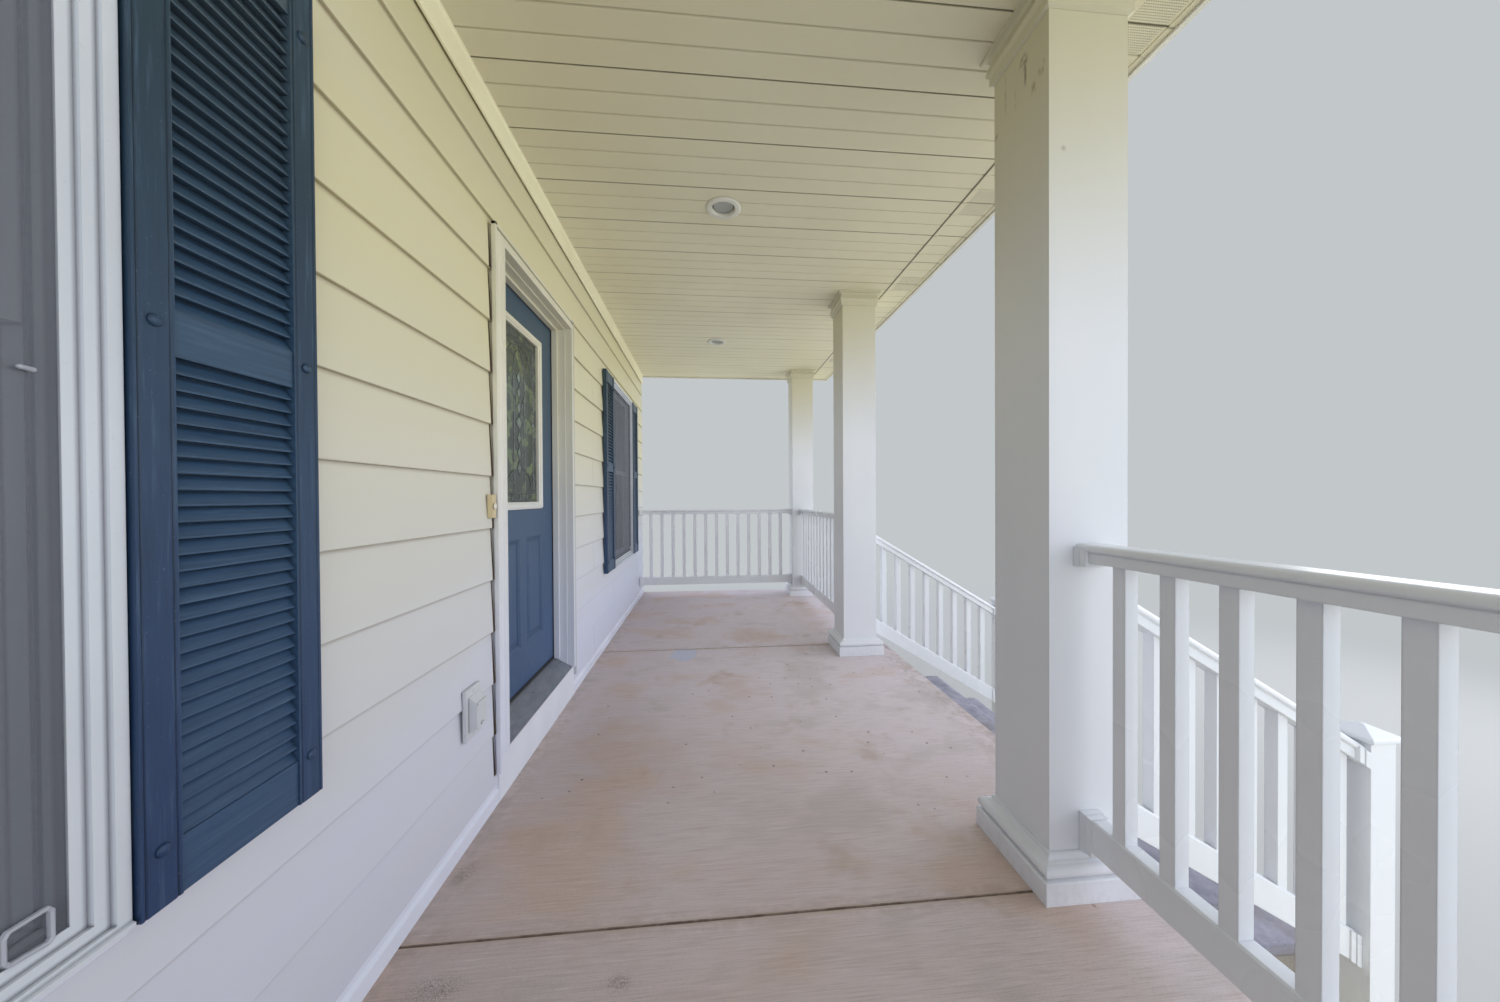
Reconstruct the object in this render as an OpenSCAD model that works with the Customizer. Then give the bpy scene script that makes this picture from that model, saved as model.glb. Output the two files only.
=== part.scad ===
/* [Porch floor and bays] */
// Distance between column centres
bay_pitch = 2096; // [1900:2:2400]
// Number of risers from the ground to the floor edge
riser_count = 4; // [3:1:5]
// Distance from the siding to the floor's front edge
porch_depth = 2280; // [1900:10:2800]
// Height of the floor above the ground, at the wall
floor_h = 740; // [640:5:860]
// Fall of the floor from the wall to its front edge
floor_fall = 3; // [2:1:70]
// Floor left outside the columns
floor_margin = 155; // [90:5:200]
// Thickness of the floor slab at its front edge
slab_t = 120; // [90:5:150]
// Set-back of the foundation under the slab's edge
slab_lip = 15; // [5:1:40]
// Place of the two control joints, from the middle of the porch
control_joint_x = 1165; // [700:5:1500]

/* [Columns] */
// Width of the square shaft
column_w = 258; // [200:1:320]
// Height of the plinth block
plinth_h = 68; // [50:1:110]
// Height of the moulding over the plinth
base_mould_h = 62; // [45:1:90]
// How far the plinth stands out from the shaft
plinth_out = 45; // [30:1:60]
// Height of the two-step capital
capital_h = 105; // [85:1:150]
// How far the capital stands out from the shaft
capital_out = 34; // [22:1:50]

/* [Railings] */
// Top of the rails above the floor at the columns
rail_h = 1066; // [900:1:1150]
// Height of the top rail section
top_rail_h = 55; // [50:1:90]
// Width of the top rail section
top_rail_w = 88; // [70:1:110]
// Height of the bottom rail section
bottom_rail_h = 95; // [60:1:110]
// Width of the bottom rail section
bottom_rail_w = 50; // [44:1:70]
// Gap between the top of a column base and the bottom rail over it
bottom_gap = 18; // [5:1:30]
// Width of a square baluster
baluster_w = 38; // [28:1:42]
// Distance between baluster centres
baluster_pitch = 133; // [110:0.1:160]
// Length of the collar that holds a rail to a post
collar_len = 40; // [15:1:50]
// How far a collar stands out from its rail
collar_out = 7; // [4:1:12]

/* [Steps] */
// Depth of one tread
tread_run = 305; // [260:5:340]
// Thickness of a stone tread
tread_t = 45; // [30:1:60]
// Overhang of a tread past its riser
nosing = 25; // [10:1:40]
// Gap between the steps' side and the column line
stair_side_gap = 30; // [10:1:80]
// Top of the sloped rails above the line of the nosings
stair_rail_h = 836; // [780:1:940]
// Horizontal distance between baluster centres on the slope
stair_pitch = 118; // [100:1:150]
// Distance from a column's face to its first sloped baluster
stair_first = 108; // [60:1:150]
// Gap between the line of the nosings and the sloped bottom rail
stair_bottom_gap = 56; // [50:1:130]
// Width of the square newel post
newel_w = 100; // [90:1:127]
// Distance from the columns' outer faces to the newel centres
newel_reach = 1048; // [900:1:1150]
// How much further out the right newel stands
newel_extra = 60; // [0:1:80]
// Top of the newel shaft above the ground
newel_h = 1085; // [1060:5:1200]
// How far the newel cap stands out
newel_cap_out = 16; // [10:1:25]

/* [Wall] */
// Thickness of the framed wall behind the siding
wall_t = 124; // [100:1:160]
// Depth of the siding, from the wall frame to the nominal face
siding_t = 16; // [15:0.5:20]
// Visible height of one siding course
lap_h = 203.2; // [100:0.1:260]
// Thickness of a course at its lower edge
butt_t = 14; // [8:0.5:16]
// Bottom of the first full course above the floor
starter_h = 78; // [50:1:120]
// Height of the frieze under the ceiling
frieze_h = 112; // [80:1:150]
// How far the frieze stands out from the siding
frieze_out = 12; // [6:1:20]

/* [Windows and shutters] */
// Distance from the door's middle to each window's middle
window_offset = 2135; // [1800:5:2250]
// Width over the window trim
window_w = 970; // [800:5:1050]
// Height over the window trim
window_h = 1650; // [1400:5:1750]
// Bottom of the window trim above the floor
window_sill_h = 600; // [500:5:750]
// Visible width of the window trim
window_trim_w = 50; // [45:1:70]
// How far the window trim stands out from the siding
window_trim_out = 20; // [12:1:30]
// Middle of the meeting rails above the window's lower edge
meet_up = 859; // [780:1:900]
// Distance from the wall frame's face back to the upper sash
sash_back = 20; // [17:1:30]
// Width of a sash bar
sash_w = 42; // [32:1:55]
// Thickness of a sash
sash_t = 26; // [20:1:30]
// Thickness of the glass panes
pane_t = 6; // [3:1:12]
// Width of a shutter
shutter_w = 304; // [280:1:380]
// Thickness of a shutter
shutter_t = 28; // [22:1:36]
// Width of a shutter's stiles
stile_w = 52; // [36:1:60]
// Height of a shutter's top and bottom rail
shutter_rail_h = 88; // [60:1:110]
// Height of a shutter's middle rail
shutter_mid_h = 70; // [50:1:100]
// Middle rail's centre above the shutter's lower end
shutter_mid_up = 865; // [700:5:900]
// Distance between louvres
louvre_pitch = 25.5; // [22:0.5:45]

/* [Door] */
// Distance of the door's middle from the middle of the porch
door_shift = -85; // [-150:5:150]
// Width of the door leaf
leaf_w = 864; // [760:2:920]
// Height of the door leaf
leaf_h = 1963; // [1940:1:2060]
// Thickness of the door leaf
leaf_t = 44; // [38:1:50]
// Height of the door sill above the floor
sill_h = 185; // [120:5:220]
// Thickness of the frame's jambs
jamb_t = 20; // [16:1:30]
// Visible width of the door casing
casing_w = 52; // [40:1:70]
// How far the casing stands out from the siding
casing_out = 25; // [15:1:35]
// Height of the metal threshold
threshold_h = 62; // [15:1:70]
// Running gap between the leaf and the frame
leaf_gap = 6; // [5:0.5:9]
// Width of the glazed light in the leaf
light_w = 465; // [440:5:560]
// Height of the glazed light in the leaf
light_h = 875; // [600:5:920]
// Distance from the top of the leaf to the glazed light
light_drop = 162; // [120:2:180]
// Width of one raised panel in the leaf
panel_w = 220; // [180:5:235]
// Height of the raised panels
panel_h = 540; // [400:5:560]
// Bottom of the raised panels above the leaf's lower edge
panel_up = 213; // [190:1:280]
// Height of the knob above the leaf's lower edge
knob_up = 863; // [820:1:960]
// Distance from the leaf's edge to the knob's axis
knob_backset = 70; // [60:1:70]
// Diameter of the knob
knob_d = 52; // [46:1:56]
// Diameter of the plates behind the knob and on the bolt
rose_d = 66; // [60:1:72]

/* [Ceiling and roof] */
// Ceiling height above the floor, at the wall
ceiling_h = 2775; // [2600:5:3000]
// Thickness of the ceiling panels
panel_t = 12; // [10:1:20]
// Distance between the ceiling's grooves
groove_pitch = 101.6; // [80:0.1:140]
// Distance from the columns' outer faces to the seam in the ceiling
seam_out = 70; // [40:5:100]
// Overhang of the eave past the columns' outer faces
eave_out = 300; // [240:5:450]
// Overhang of the roof past the floor's ends
roof_end_out = 40; // [20:5:120]
// Height of the fascia board
fascia_h = 150; // [120:5:200]
// Thickness of the fascia and gable boards
board_t = 20; // [15:1:30]
// Slope of the roof in degrees
roof_pitch = 18.4; // [12:0.1:24]
// Thickness of the roof deck with its covering
roof_t = 36; // [25:1:60]
// Overhang of the roof covering past the boards
drip = 30; // [15:5:50]
// Width of the beam over the columns
beam_w = 200; // [140:5:240]
// Outer width of a ceiling light's trim ring
light_ring_d = 190; // [150:2:220]
// Distance from the siding to the ceiling lights
light_inset = 930; // [700:5:1200]
// Width of the trim ring's flange
light_flange_w = 25; // [18:1:32]
// Height of a ceiling light's can above the ceiling
light_can_h = 110; // [80:5:130]

/* [Small fittings] */
// Height of the doorbell above the floor
doorbell_up = 1180; // [1000:5:1300]
// Distance from the door casing to the doorbell's middle
doorbell_side = 47; // [28:1:70]
// Height of the outlet cover above the floor
outlet_up = 460; // [300:5:600]
// Distance from the door casing to the outlet cover's middle
outlet_side = 205; // [130:5:260]
// Width of the outlet cover
outlet_w = 100; // [90:2:140]
// Height of the outlet cover
outlet_h = 176; // [130:2:200]

/* [Hidden] */

seat = 0.3;
eps = 1;

vinyl_white = [0.93, 0.93, 0.91];
cream = [0.90, 0.88, 0.78];
slate_blue = [0.17, 0.28, 0.40];
concrete = [0.72, 0.66, 0.60];
bluestone = [0.42, 0.45, 0.52];
shingle = [0.35, 0.34, 0.33];

// Plan
wall_y = porch_depth / 2;
front_y = -porch_depth / 2;
frame_y = wall_y + siding_t;
back_y = frame_y + wall_t;
column_out_y = front_y + floor_margin;
column_y = column_out_y + column_w / 2;
column_in_y = column_out_y + column_w;
column_x = [-1.5 * bay_pitch, -0.5 * bay_pitch, 0.5 * bay_pitch, 1.5 * bay_pitch];
half_len = 1.5 * bay_pitch + column_w / 2 + floor_margin;
bay_clear = bay_pitch - column_w;
stair_w = bay_clear - 2 * stair_side_gap;

// Levels
edge_z = floor_h - floor_fall;
slab_base_z = edge_z - slab_t;
ceiling_z = floor_h + ceiling_h;
riser = edge_z / riser_count;
slope = riser / tread_run;
fall = floor_fall / porch_depth;
function floor_z(y) = floor_h - (wall_y - y) * fall;
function nosing_z(y) = edge_z + (y - front_y) * slope;

// Roof lines
eave_y = column_out_y - eave_out;
roof_slope = tan(roof_pitch);
roof_half = half_len + roof_end_out;
function roof_under(y) = ceiling_z + fascia_h + (y - eave_y) * roof_slope;

// Door opening, with the hinge on the right as seen from the yard
latch_gap = leaf_gap + 2;
door_clear_w = leaf_w + leaf_gap + latch_gap;
door_x0 = door_shift - door_clear_w / 2;
door_x1 = door_shift + door_clear_w / 2;
sill_z = floor_h + sill_h;
leaf_z0 = sill_z + threshold_h + leaf_gap + 2;
leaf_z1 = leaf_z0 + leaf_h;
head_z = leaf_z1 + leaf_gap;
leaf_in_y = back_y - 2;
leaf_out_y = leaf_in_y - leaf_t;
hinge_x = door_x1 - 3;
hinge_y = back_y + 6;
casing_reveal = 6;
stop_t = 12;
seal_gap = 5;
casing_x0 = door_x0 - casing_reveal - casing_w;
casing_x1 = door_x1 + casing_reveal + casing_w;
casing_z = head_z + casing_reveal + casing_w;

// Windows
window_x = [door_shift - window_offset, door_shift + window_offset];
window_z0 = floor_h + window_sill_h;
window_z1 = window_z0 + window_h;
hole_in = 30;

// Extrudes a [y, z] outline from x0 to x1
module along_x(x0, x1) {
    translate([x0, 0, 0]) rotate([90, 0, 90]) linear_extrude(x1 - x0) children();
}

// Extrudes an [x, z] outline from y0 to y1
module along_y(y0, y1) {
    translate([0, y1, 0]) rotate([90, 0, 0]) linear_extrude(y1 - y0) children();
}

// A box between two corners
module block(a, b) {
    translate(a) cube(b - a);
}

// A mitred square moulding with its half outline as [half width, z] points
module square_mould(half) {
    outline = concat(half, [for (i = [len(half) - 1 : -1 : 0]) [-half[i][0], half[i][1]]]);
    reach = max([for (p = half) p[0]]) + eps;
    intersection() {
        along_x(-reach, reach) polygon(outline);
        along_y(-reach, reach) polygon(outline);
    }
}

// A block with mitred edges, its outline given as [inset, y] steps from the front to the back
module bevel_block(x0, x1, z0, z1, steps) {
    back = [for (i = [len(steps) - 1 : -1 : 0]) steps[i]];
    intersection() {
        translate([0, 0, z0 - eps]) linear_extrude(z1 - z0 + 2 * eps) polygon(concat(
            [for (s = steps) [x0 + s[0], s[1]]], [for (s = back) [x1 - s[0], s[1]]]));
        along_x(x0 - eps, x1 + eps) polygon(concat(
            [for (s = steps) [s[1], z0 + s[0]]], [for (s = back) [s[1], z1 - s[0]]]));
    }
}

// Points of a quarter arc about c, from angle a0 to a1
function arc(c, r, a0, a1, n = 6) =
    [for (i = [0 : n]) c + r * [cos(a0 + (a1 - a0) * i / n), sin(a0 + (a1 - a0) * i / n)]];

// Foundation and floor
module foundation() {
    color(concrete) block([-half_len + slab_lip, front_y + slab_lip, 0],
        [half_len - slab_lip, back_y, slab_base_z]);
}

module porch_slab() {
    joint_w = 8;
    joint_depth = 7;
    color(concrete) difference() {
        along_x(-half_len, half_len) polygon([[front_y, slab_base_z], [frame_y, slab_base_z],
            [frame_y, floor_z(frame_y)], [front_y, edge_z]]);
        for (x = [-control_joint_x, control_joint_x]) {
            along_x(x - joint_w / 2, x + joint_w / 2) polygon([
                [front_y - eps, floor_z(front_y - eps) - joint_depth],
                [frame_y + eps, floor_z(frame_y + eps) - joint_depth],
                [frame_y + eps, floor_z(frame_y + eps) + joint_depth],
                [front_y - eps, floor_z(front_y - eps) + joint_depth]]);
        }
    }
}

// Steps
function tread_back(k) = front_y - (k - 1) * tread_run;
function tread_top(k) = edge_z - k * riser;

module step_base() {
    flight = [for (k = [1 : riser_count - 1], p = [[tread_back(k), tread_top(k) - tread_t],
        [tread_back(k + 1), tread_top(k) - tread_t]]) p];
    color(concrete) along_x(-stair_w / 2, stair_w / 2) polygon(concat(
        [[front_y + slab_lip, 0], [front_y + slab_lip, tread_top(1) - tread_t]], flight,
        [[tread_back(riser_count), 0]]));
}

module stair_treads() {
    for (k = [1 : riser_count - 1]) tread(k);
}

module tread(k) {
    nose_r = tread_t / 4;
    y0 = tread_back(k + 1) - nosing;
    y1 = k == 1 ? front_y + slab_lip : tread_back(k);
    z1 = tread_top(k);
    color(bluestone) along_x(-stair_w / 2 - nosing / 2, stair_w / 2 + nosing / 2)
        polygon(concat([[y1, z1 - tread_t], [y1, z1]],
            arc([y0 + nose_r, z1 - nose_r], nose_r, 90, 180, 4),
            [[y0, z1 - tread_t]]));
}

// House wall
module wall_part(x0, x1, z0, z1) {
    along_x(x0, x1) polygon([[frame_y, z0], [back_y, z0],
        [back_y, z1 > 0 ? z1 : roof_under(back_y)], [frame_y, z1 > 0 ? z1 : roof_under(frame_y)]]);
}

module window_hole(x, depth0, depth1, inset) {
    block([x - window_w / 2 + inset, depth0, window_z0 + inset],
        [x + window_w / 2 - inset, depth1, window_z1 - inset]);
}

module wall_side(side) {
    x0 = side < 0 ? -half_len + slab_lip : door_x1 + jamb_t;
    x1 = side < 0 ? door_x0 - jamb_t : half_len - slab_lip;
    color(cream) difference() {
        wall_part(x0, x1, slab_base_z, 0);
        window_hole(window_x[side < 0 ? 0 : 1], frame_y - eps, back_y + eps, hole_in);
    }
}

module wall_over_door() {
    color(cream) wall_part(door_x0 - jamb_t, door_x1 + jamb_t, head_z + jamb_t, 0);
}

module sill_base() {
    out = 4;
    color(vinyl_white) union() {
        wall_part(door_x0 - jamb_t, door_x1 + jamb_t, slab_base_z, sill_z);
        along_x(casing_x0, casing_x1) polygon([[wall_y - out, floor_z(wall_y - out)],
            [frame_y, floor_z(frame_y)], [frame_y, sill_z], [wall_y - out, sill_z]]);
    }
}

// Face of the siding at height z
siding_thin = 2;
function course(z) = (z - floor_h - starter_h) / lap_h;
function siding_y(z) = wall_y + (butt_t - siding_thin) * (course(z) - floor(course(z)));

// Lapped siding with its lower edges rounded
lap_count = ceil((ceiling_h - starter_h) / lap_h);
butt_r = 4;
trim_gap = 2;
module lap_siding() {
    z0 = floor_h + starter_h;
    face = [for (k = [0 : lap_count - 1], p = concat(
        arc([wall_y + butt_r, z0 + k * lap_h + butt_r], butt_r, -90, -180, 3),
        [[wall_y + butt_t - siding_thin, z0 + (k + 1) * lap_h]])) p];
    color(cream) difference() {
        intersection() {
            along_x(-half_len + slab_lip, half_len - slab_lip) polygon(concat(
                [[frame_y, z0]], face, [[frame_y, z0 + lap_count * lap_h]]));
            block([-half_len, wall_y - eps, floor_h], [half_len, back_y, ceiling_z - frieze_h / 2]);
        }
        for (x = window_x) window_hole(x, wall_y - 2 * eps, frame_y + eps, -trim_gap);
        block([casing_x0 - trim_gap, wall_y - 2 * eps, floor_h - eps],
            [casing_x1 + trim_gap, frame_y + eps, casing_z + trim_gap]);
    }
}

module frieze_trim() {
    z1 = ceiling_z;
    z0 = z1 - frieze_h;
    out = wall_y - frieze_out;
    step_h = z0 + frieze_h * 0.55;
    band = 14;
    sink = 4;
    siding_end = ceiling_z - frieze_h / 2 + seat;
    color(cream) along_x(-half_len + slab_lip, half_len - slab_lip) polygon([
        [wall_y - seat, z0], [wall_y - seat, siding_end], [frame_y, siding_end], [frame_y, z1],
        [out, z1], [out, z1 - band], [out + sink, z1 - band - sink], [out + sink, step_h],
        [out, step_h - sink], [out, z0 + sink], [out + sink, z0]]);
}

module base_flashing() {
    z1 = floor_h + starter_h - seat;
    out = 3;
    sink = 6;
    lip_h = 22;
    color(vinyl_white) difference() {
        along_x(-half_len + slab_lip, half_len - slab_lip) polygon([
            [wall_y - out, floor_z(wall_y)], [frame_y, floor_z(frame_y)], [frame_y, z1],
            [wall_y + sink, z1], [wall_y + sink, z1 - lip_h], [wall_y - out, z1 - lip_h - out - sink]]);
        block([casing_x0 - seat, wall_y - 2 * out, 0], [casing_x1 + seat, back_y, z1 + eps]);
    }
}

// Door surround
casing_profile = [[0, 0], [0, 0.97], [0.05, 1], [0.55, 1], [0.66, 0.86], [0.9, 0.74], [1, 0.66], [1, 0]];

module casing_leg(side) {
    depth = siding_t + casing_out;
    inner_x = side < 0 ? door_x0 - casing_reveal : door_x1 + casing_reveal;
    translate([inner_x, frame_y, sill_z]) linear_extrude(casing_z - sill_z)
        polygon([for (p = casing_profile) [side * p[0] * casing_w, -p[1] * depth]]);
}

module casing_head() {
    depth = siding_t + casing_out;
    z0 = casing_z - casing_w;
    along_x(casing_x0, casing_x1)
        polygon([for (p = casing_profile) [frame_y - p[1] * depth, z0 + p[0] * casing_w]]);
}

// Outline on the wall that keeps the head between its two mitres
module head_mask() {
    along_y(wall_y - 2 * casing_out, frame_y + eps) polygon([
        [casing_x0, casing_z], [casing_x1, casing_z],
        [casing_x1 - casing_w, casing_z - casing_w], [casing_x0 + casing_w, casing_z - casing_w]]);
}

module door_casing() {
    color(cream) union() {
        for (side = [-1, 1]) difference() {
            casing_leg(side);
            head_mask();
        }
        intersection() {
            casing_head();
            head_mask();
        }
    }
}

module door_frame() {
    stop_y1 = leaf_out_y - seal_gap;
    stop_y0 = stop_y1 - 30;
    color(cream) difference() {
        block([door_x0 - jamb_t, frame_y + seat, sill_z], [door_x1 + jamb_t, back_y, head_z + jamb_t]);
        block([door_x0 + stop_t, frame_y - eps, sill_z - eps],
            [door_x1 - stop_t, back_y + eps, head_z - stop_t]);
        block([door_x0, frame_y - eps, sill_z - eps], [door_x1, stop_y0, head_z]);
        block([door_x0, stop_y1, sill_z - eps], [door_x1, back_y + eps, head_z]);
        block([door_x0, frame_y - eps, sill_z - eps],
            [door_x1, back_y + eps, sill_z + threshold_h + seat]);
    }
}

module door_threshold() {
    rib = 6;
    nose = 12;
    z1 = sill_z + threshold_h;
    color("silver") along_x(door_x0 + seat, door_x1 - seat) polygon([
        [wall_y - nose, sill_z], [back_y, sill_z], [back_y, z1 - rib], [leaf_in_y, z1],
        [leaf_out_y - rib, z1], [leaf_out_y - 3 * rib, z1 - rib], [wall_y - nose, sill_z + rib]]);
}

// Door leaf and what it carries
light_x0 = door_shift - leaf_gap / 2 + latch_gap / 2 - light_w / 2;
light_x1 = light_x0 + light_w;
light_z1 = leaf_z1 - light_drop;
light_z0 = light_z1 - light_h;
leaf_x0 = door_x0 + latch_gap;
leaf_x1 = door_x1 - leaf_gap;
flange_out = 26;
flange_t = 12;
sleeve_t = 10;
knob_x = leaf_x0 + knob_backset;
knob_z = leaf_z0 + knob_up;
bolt_z = knob_z + 150;
knob_bore_d = 54;
panel_z0 = leaf_z0 + panel_up;
panel_z1 = panel_z0 + panel_h;
hinge_end = 220;
hinge_z = [leaf_z0 + hinge_end, (leaf_z0 + leaf_z1) / 2, leaf_z1 - hinge_end];
hinge_leaf_t = 3;
knuckle_h = 32;
knuckle_gap = 0.6;
knuckle_r = 6;
pin_r = 3.5;

// Stepped border and bevelled field of one raised panel, cut into the face at y
module panel_cut(x0, y, dir) {
    border = 9;
    border_t = 5;
    depth = 10;
    field_in = 46;
    difference() {
        bevel_block(x0, x0 + panel_w, panel_z0, panel_z1, [[0, y - dir * eps], [0, y],
            [border, y + dir * border_t], [1.4 * border, y + dir * border_t],
            [2 * border, y + dir * depth]]);
        bevel_block(x0, x0 + panel_w, panel_z0, panel_z1, [[field_in, y + dir * border_t / 2],
            [3 * border, y + dir * (depth + eps)]]);
    }
}

module door_leaf() {
    color(slate_blue) difference() {
        union() {
            block([leaf_x0, leaf_out_y, leaf_z0], [leaf_x1, leaf_in_y, leaf_z1]);
            for (z = hinge_z) {
                translate([hinge_x, hinge_y, z - knuckle_h / 2])
                    cylinder(h = knuckle_h, r = knuckle_r, $fn = 32);
                block([leaf_x1 - 30, leaf_in_y - eps, z - knuckle_h / 2],
                    [hinge_x, leaf_in_y + hinge_leaf_t, z + knuckle_h / 2]);
            }
        }
        block([light_x0, leaf_out_y - eps, light_z0], [light_x1, leaf_in_y + eps, light_z1]);
        for (x0 = [light_x0 - flange_out, light_x1 + flange_out - panel_w]) {
            panel_cut(x0, leaf_out_y, 1);
            panel_cut(x0, leaf_in_y, -1);
        }
        for (z = [knob_z, bolt_z]) translate([knob_x, leaf_in_y + eps, z]) rotate([90, 0, 0])
            cylinder(h = leaf_t + 2 * eps, d = knob_bore_d, $fn = 48);
        for (z = hinge_z) translate([hinge_x, hinge_y, z - knuckle_h])
            cylinder(h = 2 * knuckle_h, r = pin_r + seat, $fn = 32);
    }
}

// Moulded flange of the light frame on the face at y, standing out against dir
module light_flange(y, dir) {
    bevel_block(light_x0 - flange_out, light_x1 + flange_out, light_z0 - flange_out,
        light_z1 + flange_out, [[12, y - dir * flange_t], [6, y - dir * 10], [6, y - dir * 6],
        [0, y - dir * 4], [0, y]]);
}

module light_opening(y, dir) {
    rim = 6;
    bevel_block(light_x0 - rim, light_x1 + rim, light_z0 - rim, light_z1 + rim, [
        [0, y - dir * (flange_t + eps)], [0, y - dir * flange_t], [rim + 2, y - dir * 7],
        [rim + 2, y - dir * 5], [rim + sleeve_t, y], [rim + sleeve_t, y + dir * leaf_t]]);
}

module door_light_frame() {
    color(cream) difference() {
        union() {
            block([light_x0 + seat, leaf_out_y - eps, light_z0 + seat],
                [light_x1 - seat, leaf_in_y + eps, light_z1 - seat]);
            light_flange(leaf_out_y, 1);
            light_flange(leaf_in_y, -1);
        }
        light_opening(leaf_out_y, 1);
        light_opening(leaf_in_y, -1);
    }
}

module door_glass() {
    inset = sleeve_t + seat;
    mid = (leaf_out_y + leaf_in_y) / 2;
    unit_t = 18;
    color([0.75, 0.85, 0.9, 0.6]) block(
        [light_x0 + inset, mid - unit_t / 2, light_z0 + inset],
        [light_x1 - inset, mid + unit_t / 2, light_z1 - inset]);
}

// Knob with its rose, turned about the axis through the leaf
knob_reach = 68;
rose_t = 9;
module knob(dir) {
    neck_r = 11;
    round_r = 0.77 * knob_d / 2;
    rotate([90 * dir, 0, 0]) rotate_extrude($fn = 48) polygon(concat(
        [[0, 0], [rose_d / 2, 0], [rose_d / 2, rose_t / 2], [rose_d / 2 - 5, rose_t],
        [neck_r + 1, rose_t + 2], [neck_r, knob_reach - knob_d * 0.73]],
        arc([knob_d / 2 - round_r, knob_reach - round_r], round_r, -30, 90, 6), [[0, knob_reach]]));
}

module door_lockset() {
    bolt_t = 14;
    color("silver") union() {
        translate([knob_x, leaf_out_y, knob_z]) knob(1);
        translate([knob_x, leaf_in_y, knob_z]) knob(-1);
        for (z = [knob_z, bolt_z]) translate([knob_x, leaf_in_y + eps, z]) rotate([90, 0, 0])
            cylinder(h = leaf_t + 2 * eps, d = knob_bore_d - 2, $fn = 48);
        for (y = [leaf_out_y, leaf_in_y + bolt_t]) translate([knob_x, y, bolt_z]) rotate([90, 0, 0])
            cylinder(h = bolt_t, d = rose_d - 4, $fn = 48);
    }
}

module door_sweep() {
    sweep_h = 12;
    sweep_drop = 3;
    sweep_t = 6;
    inset = stop_t;
    color("dimgray") block([leaf_x0 + inset, leaf_out_y - sweep_t, leaf_z0 - sweep_drop],
        [leaf_x1 - inset, leaf_out_y, leaf_z0 - sweep_drop + sweep_h]);
}

module door_hinges() {
    plate_x1 = door_x1 + jamb_t;
    color("silver") for (z = hinge_z) union() {
        for (s = [-1, 1]) {
            z0 = z + s * (knuckle_h + knuckle_gap) - knuckle_h / 2;
            translate([hinge_x, hinge_y, z0]) cylinder(h = knuckle_h, r = knuckle_r, $fn = 32);
            block([hinge_x, back_y, z0], [plate_x1, back_y + hinge_leaf_t, z0 + knuckle_h]);
        }
        block([hinge_x + knuckle_r + eps, back_y, z - 1.5 * knuckle_h],
            [plate_x1, back_y + hinge_leaf_t, z + 1.5 * knuckle_h]);
        translate([hinge_x, hinge_y, z - 1.5 * knuckle_h])
            cylinder(h = 3 * knuckle_h, r = pin_r, $fn = 32);
    }
}

// Windows
meet_z = window_z0 + meet_up;
sash_gap = 3;
upper_sash_y = frame_y + sash_back;
lower_sash_y = upper_sash_y + sash_t + sash_gap;

module window_ring(x, y0, y1, outer, inner) {
    difference() {
        window_hole(x, y0, y1, outer);
        window_hole(x, y0 - eps, y1 + eps, inner);
    }
}

// Three stepped bands round the sashes, a lining in the wall and a sloping sill in front
module window_frame(x) {
    y0 = wall_y - window_trim_out;
    band = window_trim_w / 3;
    sink = 8;
    lining_depth = 90;
    sill_out = 6;
    color(vinyl_white) union() {
        for (k = [0 : 2])
            window_ring(x, y0 + k * sink, frame_y - seat, max(0, k * band - eps), (k + 1) * band);
        window_ring(x, frame_y - 2 * eps, frame_y + lining_depth, hole_in + eps, window_trim_w);
        along_x(x - window_w / 2 + eps, x + window_w / 2 - eps) polygon([
            [y0 + eps, window_z0 + eps], [y0 - sill_out, window_z0 + sill_out / 3],
            [y0 - sill_out, window_z0 + 1.4 * sill_out], [y0 + eps, window_z0 + 1.8 * sill_out]]);
    }
}

module sash(x, z0, z1, y) {
    x0 = x - window_w / 2 + window_trim_w + seat;
    x1 = x + window_w / 2 - window_trim_w - seat;
    difference() {
        block([x0, y, z0], [x1, y + sash_t, z1]);
        block([x0 + sash_w, y - eps, z0 + sash_w], [x1 - sash_w, y + sash_t + eps, z1 - sash_w]);
    }
}

module window_sashes() {
    color(vinyl_white) for (x = window_x) {
        sash(x, meet_z - sash_w / 2, window_z1 - window_trim_w - seat, upper_sash_y);
        sash(x, window_z0 + window_trim_w + seat, meet_z + sash_w / 2, lower_sash_y);
    }
}

module pane(x, z0, z1, y) {
    inset = window_trim_w + sash_w + 2 * seat;
    block([x - window_w / 2 + inset, y + (sash_t - pane_t) / 2, z0 + sash_w + seat],
        [x + window_w / 2 - inset, y + (sash_t + pane_t) / 2, z1 - sash_w - seat]);
}

module window_panes() {
    color([0.4, 0.5, 0.55, 0.5]) for (x = window_x) {
        pane(x, meet_z - sash_w / 2, window_z1 - window_trim_w - seat, upper_sash_y);
        pane(x, window_z0 + window_trim_w + seat, meet_z + sash_w / 2, lower_sash_y);
    }
}

module window_screens() {
    bar = 20;
    frame_t = 12;
    mesh_t = 2;
    screen_back = 19;
    y0 = wall_y - window_trim_out + screen_back;
    color([0.25, 0.27, 0.27]) for (x = window_x) union() {
        window_ring(x, y0, y0 + frame_t, window_trim_w + seat, window_trim_w + bar);
        window_hole(x, y0 + (frame_t - mesh_t) / 2, y0 + (frame_t + mesh_t) / 2,
            window_trim_w + bar - eps);
    }
}

// Louvred shutters
shutter_gap = 3;
louvre_lip = 3;
louvre_in = 5;

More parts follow.
